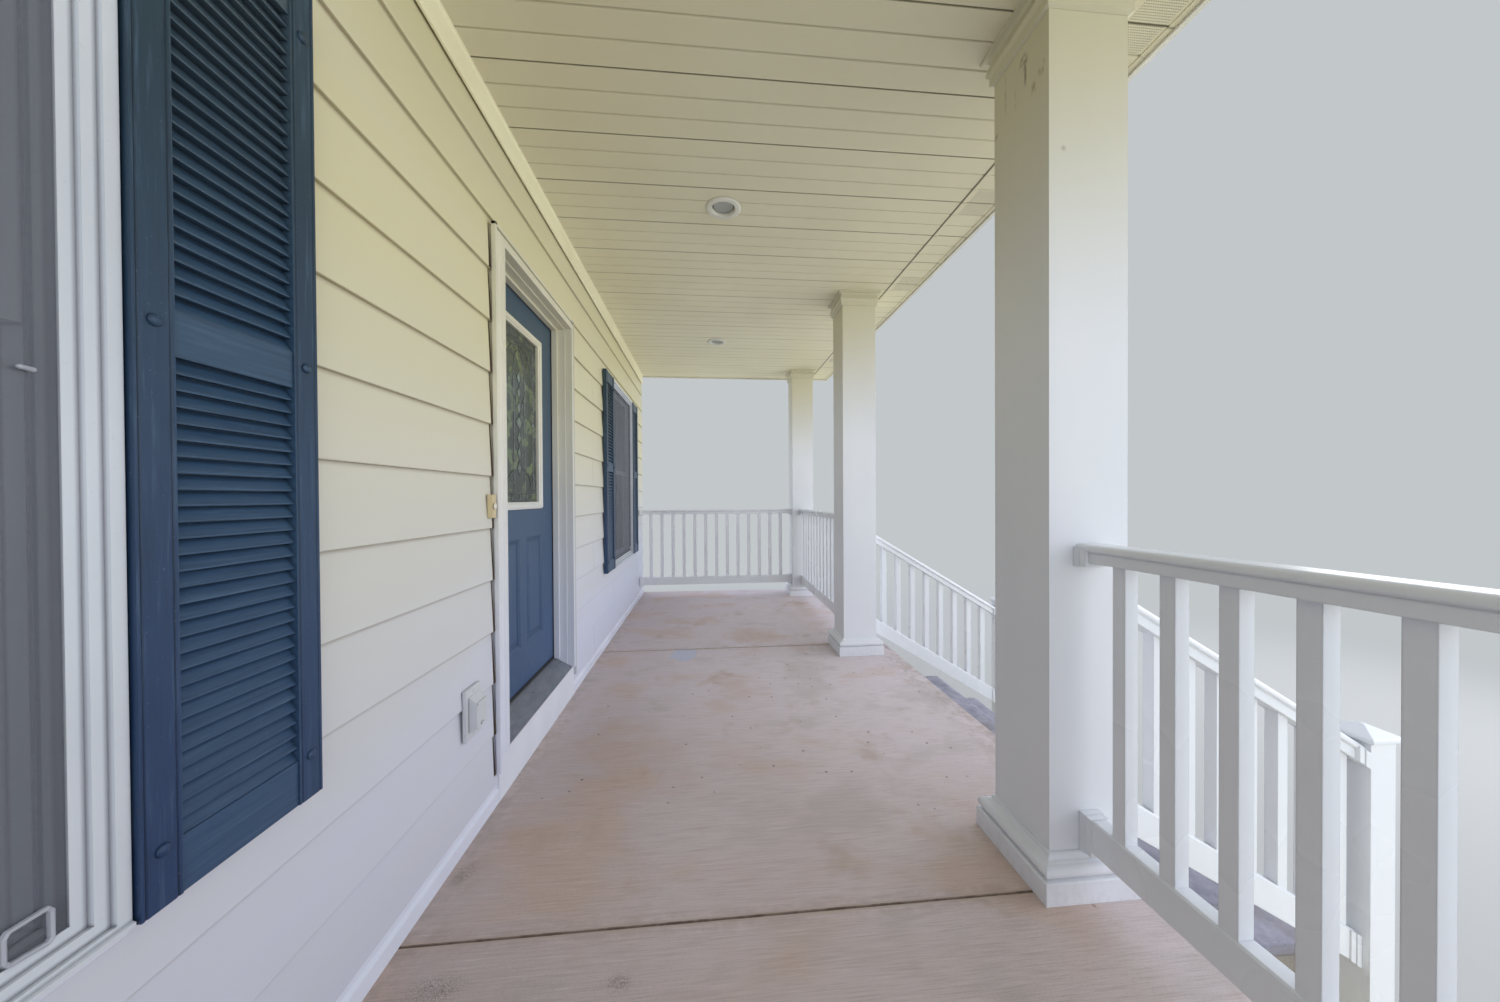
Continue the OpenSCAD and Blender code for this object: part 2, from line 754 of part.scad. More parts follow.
// Plan of one stile, with a fine bead line near both edges
module stile_outline() {
    line_in = 6;
    line_w = 2;
    polygon([[0, 0], [0, shutter_t], [line_in - line_w, shutter_t], [line_in, shutter_t - line_w],
        [line_in + line_w, shutter_t], [stile_w - line_in - line_w, shutter_t],
        [stile_w - line_in, shutter_t - line_w], [stile_w - line_in + line_w, shutter_t],
        [stile_w, shutter_t], [stile_w, 0]]);
}

// Sloping louvres between the heights z0 and z1
module louvres(x0, x1, y0, y1, z0, z1) {
    count = floor((z1 - z0) / louvre_pitch);
    step = (z1 - z0) / count;
    along_x(x0, x1) polygon(concat([[y1 + eps, z0]],
        [for (i = [0 : count - 1], p = [[y0, z0 + i * step], [y0, z0 + i * step + louvre_lip],
            [y1, z0 + (i + 1) * step - louvre_lip / 2], [y1, z0 + (i + 1) * step]]) p],
        [[y1 + eps, z1]]));
}

module shutter(x) {
    x0 = x - shutter_w / 2;
    x1 = x + shutter_w / 2;
    y1 = wall_y - seat;
    y0 = y1 - shutter_t;
    back_t = 8;
    mid_z = window_z0 + shutter_mid_up;
    rails = [[window_z0, window_z0 + shutter_rail_h],
        [mid_z - shutter_mid_h / 2, mid_z + shutter_mid_h / 2],
        [window_z1 - shutter_rail_h, window_z1]];
    color(slate_blue) union() {
        block([x0 + eps, y1 - back_t, window_z0], [x1 - eps, y1, window_z1]);
        for (side = [x0, x1 - stile_w]) translate([side, y1, window_z0])
            mirror([0, 1, 0]) linear_extrude(window_h) stile_outline();
        for (r = rails)
            block([x0 + stile_w - eps, y0 + louvre_lip, r[0]], [x1 - stile_w + eps, y1, r[1]]);
        for (k = [0, 1])
            louvres(x0 + stile_w - eps, x1 - stile_w + eps, y0 + louvre_in, y1 - back_t,
                rails[k][1], rails[k + 1][0]);
    }
}

module shutter_pair(k) {
    for (side = [-1, 1])
        shutter(window_x[k] + side * ((window_w + shutter_w) / 2 + shutter_gap));
}

// Columns
module column_pair(side) {
    color(vinyl_white) for (x = [0.5 * side * bay_pitch, 1.5 * side * bay_pitch])
        along_x(x - column_w / 2, x + column_w / 2) polygon([
            [column_out_y, floor_z(column_out_y) + seat], [column_in_y, floor_z(column_in_y) + seat],
            [column_in_y, ceiling_z + panel_t], [column_out_y, ceiling_z + panel_t]]);
}

module column_mouldings() {
    column_bases();
    column_capitals();
}

module column_rings() {
    for (x = column_x) difference() {
        translate([x, column_y, 0]) children();
        block([x - column_w / 2, column_out_y, 0],
            [x + column_w / 2, column_in_y, ceiling_z + 2 * panel_t]);
    }
}

base_top_z = floor_z(column_y) + plinth_h + base_mould_h;
module column_bases() {
    w = column_w / 2;
    z0 = floor_z(column_y);
    z1 = z0 + plinth_h;
    edge = 3;
    neck = 8;
    torus_r = min(base_mould_h * 0.3, plinth_out * 0.42);
    torus_c = [w + plinth_out - torus_r - edge, z1 + edge + torus_r];
    cove_r = min(base_mould_h * 0.2, plinth_out * 0.25);
    y0 = column_out_y - 2 * plinth_out;
    y1 = column_in_y + 2 * plinth_out;
    color(vinyl_white) difference() {
        column_rings() square_mould(concat(
            [[w + plinth_out, z0 - 2 * edge], [w + plinth_out, z1 - edge],
            [w + plinth_out - edge, z1]],
            arc(torus_c, torus_r, -80, 90, 8),
            arc([w + neck + cove_r, base_top_z - neck], cove_r, 270, 180, 5),
            [[w + neck, base_top_z - edge], [w + neck - edge, base_top_z], [w + eps, base_top_z]]));
        along_x(-2 * half_len, 2 * half_len) polygon([[y0, floor_z(y0) + seat],
            [y1, floor_z(y1) + seat], [y1, slab_base_z], [y0, slab_base_z]]);
    }
}

module column_capitals() {
    w = column_w / 2;
    z1 = ceiling_z;
    z0 = z1 - capital_h;
    step_z = z0 + capital_h * 0.42;
    low_out = capital_out * 0.35;
    mid_out = capital_out * 0.6;
    fillet = 6;
    color(vinyl_white) column_rings() square_mould(concat(
        [[w + eps, z0], [w + low_out, z0 + fillet], [w + low_out, step_z - 2 * fillet],
        [w + mid_out, step_z], [w + mid_out, step_z + fillet]],
        arc([w + mid_out + 2, z1 - 4 * fillet], capital_out - mid_out - 2, 180, 100, 4),
        [[w + capital_out, z1 - 2 * fillet], [w + capital_out, z1]]));
}

// Railings
rail_top_z = floor_z(column_y) + rail_h;
bottom_rail_z = base_top_z + bottom_gap;

skirt_share = 0.82;
module top_rail_outline() {
    w = top_rail_w / 2;
    h = top_rail_h;
    skirt = w * skirt_share;
    line = 2;
    crown_r = 14;
    right = concat([[skirt, 0], [skirt, h * 0.5], [skirt - line, h * 0.54], [skirt, h * 0.58],
        [w - line, h * 0.62], [w, h * 0.68]], arc([w - crown_r, h - crown_r], crown_r, 0, 90, 5));
    polygon(concat(right, [for (i = [len(right) - 1 : -1 : 0]) [-right[i][0], right[i][1]]]));
}

module bottom_rail_outline() {
    w = bottom_rail_w / 2;
    h = bottom_rail_h;
    polygon([[-w, 0], [w, 0], [w, h - 5], [w - 5, h], [-w + 5, h], [-w, h - 5]]);
}

module baluster_row(len, z0, z1) {
    count = floor((len - 2 * baluster_w) / baluster_pitch);
    start = (len - (count - 1) * baluster_pitch) / 2;
    for (i = [0 : count - 1]) {
        x = start + i * baluster_pitch;
        block([x - baluster_w / 2, -baluster_w / 2, z0], [x + baluster_w / 2, baluster_w / 2, z1]);
    }
}

// Two-step collar round the end of a rail, from z0 to z1 against the post at x0
collar_steps = [[collar_len, collar_out * 0.6], [collar_len * 0.5, collar_out]];
collar_rise = 5;
collar_share = 0.8;
module collar(x0, dir, z0, z1, w) {
    for (step = collar_steps)
        block([min(x0, x0 + dir * step[0]), -w / 2 - step[1], z0 + collar_out - step[1]],
            [max(x0, x0 + dir * step[0]), w / 2 + step[1], z1 - collar_out + step[1]]);
}

// One level panel along X from 0 to len
module level_panel(len) {
    top_z0 = rail_top_z - top_rail_h;
    color(vinyl_white) union() {
        along_x(0, len) translate([0, top_z0]) top_rail_outline();
        along_x(0, len) translate([0, bottom_rail_z]) bottom_rail_outline();
        baluster_row(len, bottom_rail_z + bottom_rail_h / 2, top_z0 + top_rail_h / 2);
        for (end = [[0, 1], [len, -1]]) {
            collar(end[0], end[1], top_z0 - 2 * collar_out, top_z0 + top_rail_h * collar_share,
                top_rail_w);
            collar(end[0], end[1], base_top_z + seat, bottom_rail_z + bottom_rail_h + collar_rise,
                bottom_rail_w);
        }
    }
}

module side_rail(k) {
    translate([column_x[k] + column_w / 2 + seat, column_y, 0]) level_panel(bay_clear - 2 * seat);
}

module end_rail(k) {
    y1 = wall_y - seat;
    translate([column_x[k], y1, 0]) rotate([0, 0, -90]) level_panel(y1 - column_in_y - seat);
}

stair_angle = atan(slope);
function newel_y(k) = column_out_y - newel_reach - (k == 2 ? newel_extra : 0);
module sloped_bar(z0) {
    reach = (newel_reach + newel_extra) / cos(stair_angle);
    translate([0, column_out_y, z0]) rotate([stair_angle, 0, 0])
        along_y(-reach, top_rail_h) children();
}

// Collar on a sloped rail, its faces along Y upright against the post at y0
module sloped_collar(y0, dir, z0, h, w) {
    for (step = collar_steps) {
        ends = [y0, y0 + dir * step[0]];
        low = [for (y = ends) [y, z0 + (y - column_out_y) * slope - step[1]]];
        high = [for (y = ends) [y, z0 + (y - column_out_y) * slope + h * 1.1 + step[1] * 0.4]];
        along_x(-w / 2 - step[1], w / 2 + step[1]) polygon([low[0], low[1], high[1], high[0]]);
    }
}

module stair_rail(k) {
    top_z = nosing_z(column_out_y) + stair_rail_h - top_rail_h / cos(stair_angle);
    low_z = nosing_z(column_out_y) + stair_bottom_gap;
    y0 = newel_y(k) + newel_w / 2 + seat;
    y1 = column_out_y - seat;
    count = floor((y1 - y0 - stair_first - baluster_w) / stair_pitch) + 1;
    translate([column_x[k], 0, 0]) color(vinyl_white) union() {
        intersection() {
            union() {
                sloped_bar(top_z) top_rail_outline();
                sloped_bar(low_z) bottom_rail_outline();
            }
            block([-top_rail_w, y0, 0], [top_rail_w, y1, ceiling_z]);
        }
        for (i = [0 : count - 1]) {
            y = column_out_y - stair_first - i * stair_pitch;
            drop = (y - column_out_y) * slope;
            block([-baluster_w / 2, y - baluster_w / 2, low_z + drop + bottom_rail_h / 2],
                [baluster_w / 2, y + baluster_w / 2, top_z + drop + top_rail_h / 2]);
        }
        for (end = [[y0, 1], [y1, -1]])
            for (bar = [[top_z, top_rail_h * collar_share, top_rail_w],
                    [low_z, bottom_rail_h, bottom_rail_w]])
                sloped_collar(end[0], end[1], bar[0], bar[1], bar[2]);
    }
}

module newel_posts() {
    w = newel_w / 2;
    cap = w + newel_cap_out;
    bed = 5;
    neck_t = 3;
    cap_t = 12;
    cap_rise = 30;
    color(vinyl_white) for (k = [1, 2]) translate([column_x[k], newel_y(k), 0]) square_mould([
        [w, 0], [w, newel_h - 3 * neck_t], [w + bed, newel_h - 2 * neck_t],
        [w + bed, newel_h - neck_t], [cap - 3, newel_h], [cap, newel_h + 2], [cap, newel_h + cap_t],
        [cap - bed, newel_h + cap_t + bed], [bed, newel_h + cap_t + cap_rise]]);
}

// Beam, ceiling and roof
module porch_beam() {
    y0 = column_y - beam_w / 2;
    y1 = column_y + beam_w / 2;
    x1 = roof_half - board_t;
    color("burlywood") along_x(-x1, x1) polygon([[y0, ceiling_z + panel_t], [y1, ceiling_z + panel_t],
        [y1, roof_under(y0)], [y0, roof_under(y0)]]);
}

// Outline of grooved panels across the porch, with a deeper joint at every third groove
module grooved_outline(x1) {
    groove = 5;
    joint = 3;
    count = floor((x1 - groove) / groove_pitch - 0.5);
    low = [for (i = [-count - 1 : count], p = ((i % 3) + 3) % 3 == 1 ?
            [[-joint, 0], [-joint / 2, 1.6 * groove], [joint / 2, 1.6 * groove], [joint, 0]] :
            [[-groove, 0], [0, groove], [groove, 0]])
        [(i + 0.5) * groove_pitch + p[0], ceiling_z + p[1]]];
    polygon(concat([[-x1, ceiling_z]], low, [[x1, ceiling_z], [x1, ceiling_z + panel_t],
        [-x1, ceiling_z + panel_t]]));
}

seam_y = column_out_y - seam_out;
light_y = wall_y - light_inset;
light_x = [-bay_pitch, 0, bay_pitch];
can_d = light_ring_d - 2 * light_flange_w;

module porch_ceiling() {
    color(cream) difference() {
        along_y(seam_y + seat, frame_y) grooved_outline(roof_half - board_t - seat);
        for (x = column_x) block(
            [x - column_w / 2 - seat, column_out_y - seat, ceiling_z - eps],
            [x + column_w / 2 + seat, column_in_y + seat, ceiling_z + panel_t + eps]);
        for (x = light_x) translate([x, light_y, ceiling_z - eps])
            cylinder(h = panel_t + 2 * eps, d = can_d + 2 * seat, $fn = 64);
    }
}

module eave_soffit() {
    lip_w = 22;
    lip_t = 4;
    x1 = roof_half - board_t - seat;
    y0 = eave_y + board_t + seat;
    color(cream) union() {
        along_y(y0, seam_y) grooved_outline(x1);
        block([-x1, seam_y - lip_w, ceiling_z - lip_t], [x1, seam_y, ceiling_z + eps]);
        block([-x1, y0, ceiling_z - lip_t], [x1, y0 + lip_w, ceiling_z + eps]);
    }
}

board_drop = 14;
module eave_boards() {
    color(vinyl_white) {
        along_x(-roof_half, roof_half) polygon([
            [eave_y, ceiling_z - board_drop], [eave_y + board_t, ceiling_z - board_drop],
            [eave_y + board_t, roof_under(eave_y + board_t)], [eave_y, roof_under(eave_y)]]);
        for (x0 = [-roof_half, roof_half - board_t]) gable_board(x0);
    }
}

// Board that closes one end of the porch roof
module gable_board(x0) {
    y0 = eave_y + board_t + seat;
    along_x(x0, x0 + board_t) polygon([[y0, ceiling_z - board_drop], [back_y, ceiling_z - board_drop],
        [back_y, roof_under(back_y)], [y0, roof_under(y0)]]);
}

module roof_deck() {
    y0 = eave_y - drip;
    color(shingle) along_x(-roof_half - drip, roof_half + drip) polygon([
        [y0, roof_under(y0)], [back_y, roof_under(back_y)], [back_y, roof_under(back_y) + roof_t],
        [y0, roof_under(y0) + roof_t]]);
}

module ceiling_lights() {
    r = can_d / 2;
    ring = light_ring_d / 2;
    lip = 8;
    lens_up = 30;
    color(vinyl_white) for (x = light_x) translate([x, light_y, ceiling_z]) rotate_extrude($fn = 64)
        polygon([[0, lens_up + 4], [r - 2 * lip, lens_up], [r - lip, 0], [r - lip / 2, -lip],
            [ring - lip, -lip], [ring, -lip / 3], [ring, -seat], [r, -seat], [r, light_can_h],
            [0, light_can_h]]);
}

// Small fittings on the wall
module doorbell() {
    x = casing_x0 - doorbell_side;
    z = floor_h + doorbell_up;
    half_w = 15;
    half_h = 45;
    out = 16;
    button_d = 18;
    color([0.78, 0.72, 0.58]) union() {
        block([x - half_w, wall_y - out, z - half_h],
            [x + half_w, siding_y(z - half_h) - seat, z + half_h]);
        translate([x, wall_y - out + eps, z]) rotate([90, 0, 0])
            cylinder(h = 4, d = button_d, $fn = 32);
    }
}

// Wall plate with a sloping cover box over the outlet
module outlet_cover() {
    x = casing_x0 - outlet_side;
    z = floor_h + outlet_up;
    plate_t = 12;
    box_out = 40;
    color(vinyl_white) union() {
        block([x - outlet_w / 2, wall_y - plate_t, z - outlet_h / 2],
            [x + outlet_w / 2, wall_y - seat, z + outlet_h / 2]);
        along_x(x - outlet_w / 3, x + outlet_w / 3) polygon([
            [wall_y - plate_t + eps, z - 0.35 * outlet_h], [wall_y - box_out, z - 0.28 * outlet_h],
            [wall_y - box_out, z + 0.22 * outlet_h], [wall_y - plate_t + eps, z + 0.35 * outlet_h]]);
    }
}

foundation();
porch_slab();
step_base();
stair_treads();
wall_side(-1);  // wall_left
wall_side(1);  // wall_right
wall_over_door();
sill_base();
lap_siding();
frieze_trim();
base_flashing();
door_casing();
door_frame();
door_threshold();
window_frame(window_x[0]);  // window_left
window_frame(window_x[1]);  // window_right
window_sashes();
window_panes();
window_screens();
shutter_pair(0);  // shutters_left
shutter_pair(1);  // shutters_right
column_pair(-1);  // columns_left
column_pair(1);  // columns_right
column_mouldings();
side_rail(0);  // rail_left
side_rail(2);  // rail_right
end_rail(0);  // end_rail_left
end_rail(3);  // end_rail_right
stair_rail(1);  // stair_rail_left
stair_rail(2);  // stair_rail_right
newel_posts();
porch_beam();
porch_ceiling();
eave_soffit();
eave_boards();
roof_deck();
ceiling_lights();
doorbell();
outlet_cover();
door_leaf();
door_light_frame();
door_glass();
door_lockset();
door_sweep();
door_hinges();
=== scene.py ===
import bpy
import bmesh
import math
import random
from mathutils import Matrix, Vector, noise


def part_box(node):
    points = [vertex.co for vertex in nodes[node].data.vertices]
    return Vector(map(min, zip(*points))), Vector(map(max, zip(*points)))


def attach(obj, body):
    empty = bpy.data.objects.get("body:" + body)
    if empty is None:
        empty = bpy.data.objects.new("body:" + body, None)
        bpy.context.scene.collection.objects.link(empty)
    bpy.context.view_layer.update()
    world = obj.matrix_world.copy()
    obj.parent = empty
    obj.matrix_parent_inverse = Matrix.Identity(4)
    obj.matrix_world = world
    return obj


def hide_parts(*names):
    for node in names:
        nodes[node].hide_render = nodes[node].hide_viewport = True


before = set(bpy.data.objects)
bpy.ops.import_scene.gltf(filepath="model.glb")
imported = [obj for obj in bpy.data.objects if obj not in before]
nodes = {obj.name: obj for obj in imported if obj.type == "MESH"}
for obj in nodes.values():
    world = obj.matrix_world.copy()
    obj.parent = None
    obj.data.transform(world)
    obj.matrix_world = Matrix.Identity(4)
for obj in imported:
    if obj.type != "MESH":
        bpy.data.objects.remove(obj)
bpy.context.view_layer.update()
rng = random.Random(7)

# Places and sizes in metres, the same as in the part's source
WALL_Y = 1.140
FRONT_Y = -1.140
FLOOR_EDGE_Z = 0.737
FLOOR_MARK_Z = 0.738
COLUMN_IN_Y = -0.727
CEILING_Z = 3.515
LAP = 0.2032
STARTER_Z = 0.818
WINDOW_X = [-2.220, 2.050]
WINDOW_HALF = 0.485
WINDOW_LOW_Z = 1.340
WINDOW_FACE_W = 0.050
SHUTTER_X = [-2.860, -1.580, 1.410, 2.690]
SHUTTER_Y = 1.1117
SHUTTER_SCREW_OFF = 0.126
SHUTTER_SCREW_Z = (1.427, 2.2155, 2.8835)
DOOR_X = (-0.524, 0.354)
CASING_X = (-0.582, 0.412)
CASING_Z = 3.022
CHANNEL_W = 0.014
CHANNEL_LOW_Z = 0.86
GROOVE_PITCH = 0.1016
PANEL_PITCH = 3 * GROOVE_PITCH
VENT_PITCH = 0.0079
SEAM_Y = -1.052
THRESHOLD_SCREW_X = (-0.44, -0.085, 0.27)
THRESHOLD_SCREW_Z = 0.9666
HINGE_SCREW_X = 0.366
HINGE_SCREW_Y = 1.2830
HINGE_Z = (1.215, 1.9765, 2.738)
SILL_TOP_Z = 0.987
STOP_TOP_Z = 2.952
JOINT_X = 1.165
SCREEN_Y = 1.1385
PULL_Z = 1.392
LATCH_Z = 2.113
LEAF_OUT_Y = 1.234
LEAF_IN_Y = 1.278
LIGHT_X = (-0.3165, 0.1485)
LIGHT_Z = (1.921, 2.796)
LAMP_X = (-2.096, 0.0, 2.096)
LAMP_Y = 0.210
BELL = (CASING_X[0] - 0.047, 1.1205, 1.920)
OUTLET = (CASING_X[0] - 0.205, 1.200)
RISER = FLOOR_EDGE_Z / 4
TREAD_RUN = 0.305
TREAD_THICK = 0.045
ROOF_SLOPE = math.tan(math.radians(18.4))
SHEET_DROP = 0.036
SHINGLE_BED = 0.0065

# Camera and backdrop
CAMERA_AT = (-2.45, 0.297, 1.948)
CAMERA_YAW, CAMERA_PITCH, CAMERA_ROLL = 0.0908, 0.0078, 0.0057
CAMERA_LENS_MM = 10.8
BACKDROP = "#c2c7ca"
HAZE_FROM, HAZE_TO = 4.0, 9.5


def srgb(code):
    """Linear colour of a #rrggbb code."""
    parts = [int(code[i:i + 2], 16) / 255 for i in (1, 3, 5)]
    return [c / 12.92 if c <= 0.04045 else ((c + 0.055) / 1.055) ** 2.4 for c in parts] + [1.0]


class Graph:
    """One material's nodes, built on the shared frame's coordinates."""

    def __init__(self, name, rough=0.5, **sockets):
        self.mat = bpy.data.materials.new(name)
        self.mat.use_nodes = True
        self.tree = self.mat.node_tree
        self.shader = self.tree.nodes["Principled BSDF"]
        self.shader.inputs["Roughness"].default_value = rough
        for key, value in sockets.items():
            self.shader.inputs[key.replace("_", " ")].default_value = value
        self.coord = self.new("ShaderNodeTexCoord").outputs["Object"]
        self.height = None
        self.split = None

    def new(self, kind, **props):
        node = self.tree.nodes.new(kind)
        for key, value in props.items():
            setattr(node, key, value)
        return node

    def put(self, socket, value):
        if isinstance(value, bpy.types.NodeSocket):
            self.tree.links.new(value, socket)
        elif isinstance(value, str):
            socket.default_value = srgb(value)
        else:
            socket.default_value = value

    def axis(self, index):
        if self.split is None:
            self.split = self.new("ShaderNodeSeparateXYZ")
            self.put(self.split.inputs[0], self.coord)
        return self.split.outputs[index]

    def mapped(self, scale=(1, 1, 1), move=(0, 0, 0)):
        node = self.new("ShaderNodeMapping")
        self.put(node.inputs["Vector"], self.coord)
        node.inputs["Scale"].default_value = scale
        node.inputs["Location"].default_value = move
        return node.outputs[0]

    def noise(self, scale, detail=3.0, rough=0.5, stretch=(1, 1, 1), move=(0, 0, 0), warp=0.0,
              vector=None):
        """Noise over the stretched and moved coordinates, or over a vector of its own."""
        node = self.new("ShaderNodeTexNoise")
        self.put(node.inputs["Vector"], vector or self.mapped(stretch, move))
        node.inputs["Scale"].default_value = scale
        node.inputs["Detail"].default_value = detail
        node.inputs["Roughness"].default_value = rough
        node.inputs["Distortion"].default_value = warp
        return node.outputs[0]

    def cells(self, scale, stretch=(1, 1, 1)):
        """Distance to the nearest of scattered points."""
        node = self.new("ShaderNodeTexVoronoi")
        self.put(node.inputs["Vector"], self.mapped(stretch))
        node.inputs["Scale"].default_value = scale
        return node.outputs["Distance"]

    def math(self, op, a, b=0.0, c=0.0):
        node = self.new("ShaderNodeMath", operation=op)
        for socket, value in zip(node.inputs, (a, b, c)):
            self.put(socket, value)
        return node.outputs[0]

    def band(self, index, place):
        """Distance from a plane at place, along one axis."""
        return self.math("ABSOLUTE", self.math("SUBTRACT", self.axis(index), place))

    def beat(self, index, pitch):
        """0 to 1 over each pitch along one axis."""
        return self.math("FRACT", self.math("DIVIDE", self.axis(index), pitch))

    def beat_middle(self, index, pitch):
        """Distance from the middle of each pitch, in pitches."""
        return self.math("ABSOLUTE", self.math("SUBTRACT", self.beat(index, pitch), 0.5))

    def steps(self, value, low, high, out_low=0.0, out_high=1.0):
        """Smooth step of value from low to high, or down where low is above high."""
        node = self.new("ShaderNodeMapRange", interpolation_type="SMOOTHSTEP", clamp=True)
        for key, number in (("Value", value), ("From Min", low), ("From Max", high),
                            ("To Min", out_low), ("To Max", out_high)):
            self.put(node.inputs[key], number)
        return node.outputs[0]

    def near(self, point, radii, soft=0.5):
        """1 at the point, fading to 0 at the radii."""
        node = self.new("ShaderNodeVectorMath", operation="LENGTH")
        scale = [1 / r for r in radii]
        move = [-p / r for p, r in zip(point, radii)]
        self.put(node.inputs[0], self.mapped(scale, move))
        return self.steps(node.outputs["Value"], soft, 1.0, 1.0, 0.0)

    def mix(self, fac, a, b):
        node = self.new("ShaderNodeMix", data_type="RGBA")
        self.put(node.inputs[0], fac)
        self.put(node.inputs[6], a)
        self.put(node.inputs[7], b)
        return node.outputs[2]

    def crevice(self, distance, low=0.5, high=0.95):
        """1 in narrow corners and grooves, 0 on open faces."""
        node = self.new("ShaderNodeAmbientOcclusion", samples=2)
        node.inputs["Distance"].default_value = distance
        return self.steps(node.outputs["AO"], low, high, 1.0, 0.0)

    def color(self, value):
        self.put(self.shader.inputs["Base Color"], value)
        return self

    def rough(self, value):
        self.put(self.shader.inputs["Roughness"], value)
        return self

    def relief(self, height, distance, edge=0.0):
        """Bump of the height times the distance, over edges rounded by a radius."""
        normal = None
        if edge:
            bevel = self.new("ShaderNodeBevel", samples=4)
            bevel.inputs["Radius"].default_value = edge
            normal = bevel.outputs[0]
        if height is not None:
            bump = self.new("ShaderNodeBump")
            bump.inputs["Distance"].default_value = distance
            self.put(bump.inputs["Height"], height)
            if normal is not None:
                self.put(bump.inputs["Normal"], normal)
            normal = bump.outputs[0]
        self.put(self.shader.inputs["Normal"], normal)
        return self


def dress(graph, *names):
    """Gives the CAD nodes the material."""
    for name in names:
        mesh = nodes[name].data
        mesh.materials.clear()
        mesh.materials.append(graph.mat)


# ---------- materials ----------
def make_siding():
    """Lapped vinyl: painted shadow lines under the laps, painted light bluish low and cream high,
    painted shade at the near end, dust low on the wall.
    """
    g = Graph("siding_vinyl", 0.45)
    z = g.axis(2)
    # Painted light: bluish on the low wall, cream high up.
    tone = g.mix(g.steps(z, 0.95, 2.8), "#dde1f3", "#e5ddb2")
    # Painted shade towards the near end of the wall.
    tone = g.mix(g.steps(g.axis(0), -1.5, 0.8, 0.16, 0.0), tone, "#b0a98c")
    patch = g.noise(1.3, 3, 0.6, (0.5, 1, 2.2))
    tone = g.mix(g.steps(patch, 0.35, 0.75, 0.0, 0.3), tone, "#d9d6c8")
    # Painted shadow just under each lap's butt and on the butt itself.
    course = g.math("FRACT", g.math("DIVIDE", g.math("SUBTRACT", z, STARTER_Z - 0.0005), LAP))
    under = g.steps(course, 1.0 - 0.013 / LAP, 1.0 - 0.001 / LAP, 0.0, 0.45)
    butt = g.steps(course, 0.0016 / LAP, 0.0011 / LAP, 0.0, 0.5)
    shade = g.math("MAXIMUM", under, butt)
    tone = g.mix(g.math("MULTIPLY", shade, g.steps(patch, 0.3, 0.7, 0.75, 1.0)), tone, "#94856a")
    splash = g.math("MULTIPLY", g.steps(z, 0.75, 1.05, 1.0, 0.0), patch)
    tone = g.mix(g.math("MULTIPLY", splash, 0.2), tone, "#b4aea4")
    return g.color(tone).rough(g.math("MULTIPLY_ADD", patch, 0.14, 0.38))


def make_plain(name, colour, second, rough, edge=0.0, grime_and_shade="#8b8678", grime_and_shade_share=0.3,
               reach=0.008, specks=0.06, low=None, far=None):
    """Two clouded tones. Grime colours the specks and the corners up to reach, where a darker colour
    is painted shade; low is painted sky light tinting the foot of the wall, far is (from x, to x,
    colour) of an end in painted shade."""
    g = Graph(name, rough)
    cloud = g.noise(2.2, 2, 0.6)
    tone = g.mix(g.steps(cloud, 0.35, 0.7), colour, second)
    if low:
        # Painted sky light: the low colour tints the foot of the wall.
        tone = g.mix(g.steps(g.axis(2), 1.0, 2.8, 1.0, 0.0), tone, low)
    if far:
        # Painted shade over the far end from far[0] on.
        tone = g.mix(g.steps(g.axis(0), far[0], far[1], 0.0, 0.5), tone, far[2])
    if specks:
        speck = g.steps(g.noise(160, 1, 0.5), 0.70, 0.78, 0.0, specks)
        tone = g.mix(speck, tone, grime_and_shade)
    if grime_and_shade_share:
        # Painted shade in corners where this colour is darker; dust where it is paler.
        tone = g.mix(g.math("MULTIPLY", g.crevice(reach), grime_and_shade_share), tone, grime_and_shade)
    g.color(tone).rough(g.math("MULTIPLY_ADD", cloud, 0.14, rough - 0.07))
    return g.relief(None, 0.0, edge) if edge else g


siding = make_siding()
# On the casing and frames: painted sky light bluish at the foot, painted shade past x 0.36.
trim_cream = make_plain("trim_cream", "#e6e0c6", "#dcd7be", 0.4, grime_and_shade_share=0.0, specks=0.0,
                        low="#e1e4f1", far=(0.36, 0.40, "#a3a29b"))
# A bluish copy of the cream trim for the base flashing: painted sky light.
trim_cream_sky_lit = make_plain("trim_cream_sky_lit", "#e8ebf7", "#dfe2ef", 0.42, grime_and_shade_share=0.0, specks=0.0)
# A paler copy of the cream trim for the frieze: painted light.
frieze_mat = make_plain("frieze_cream_lit", "#fffad6", "#f8f0cc", 0.42, grime_and_shade_share=0.0, specks=0.0)
dress(siding, "lap_siding")
dress(frieze_mat, "frieze_trim")
dress(trim_cream, "door_casing", "door_frame", "door_light_frame")
dress(trim_cream_sky_lit, "base_flashing")
sill_mat = make_plain("sill_board", "#eceef6", "#e3e5ee", 0.45, grime_and_shade="#9a978f", grime_and_shade_share=0.0)
dress(sill_mat, "sill_base")
# Its dark grey in corners and grooves is painted shade.
window_mat = make_plain("window_vinyl", "#d9dde2", "#d0d4da", 0.32, 0.0, "#5f5c66", 0.75, 0.006)
dress(window_mat, "window_left", "window_right", "window_sashes")


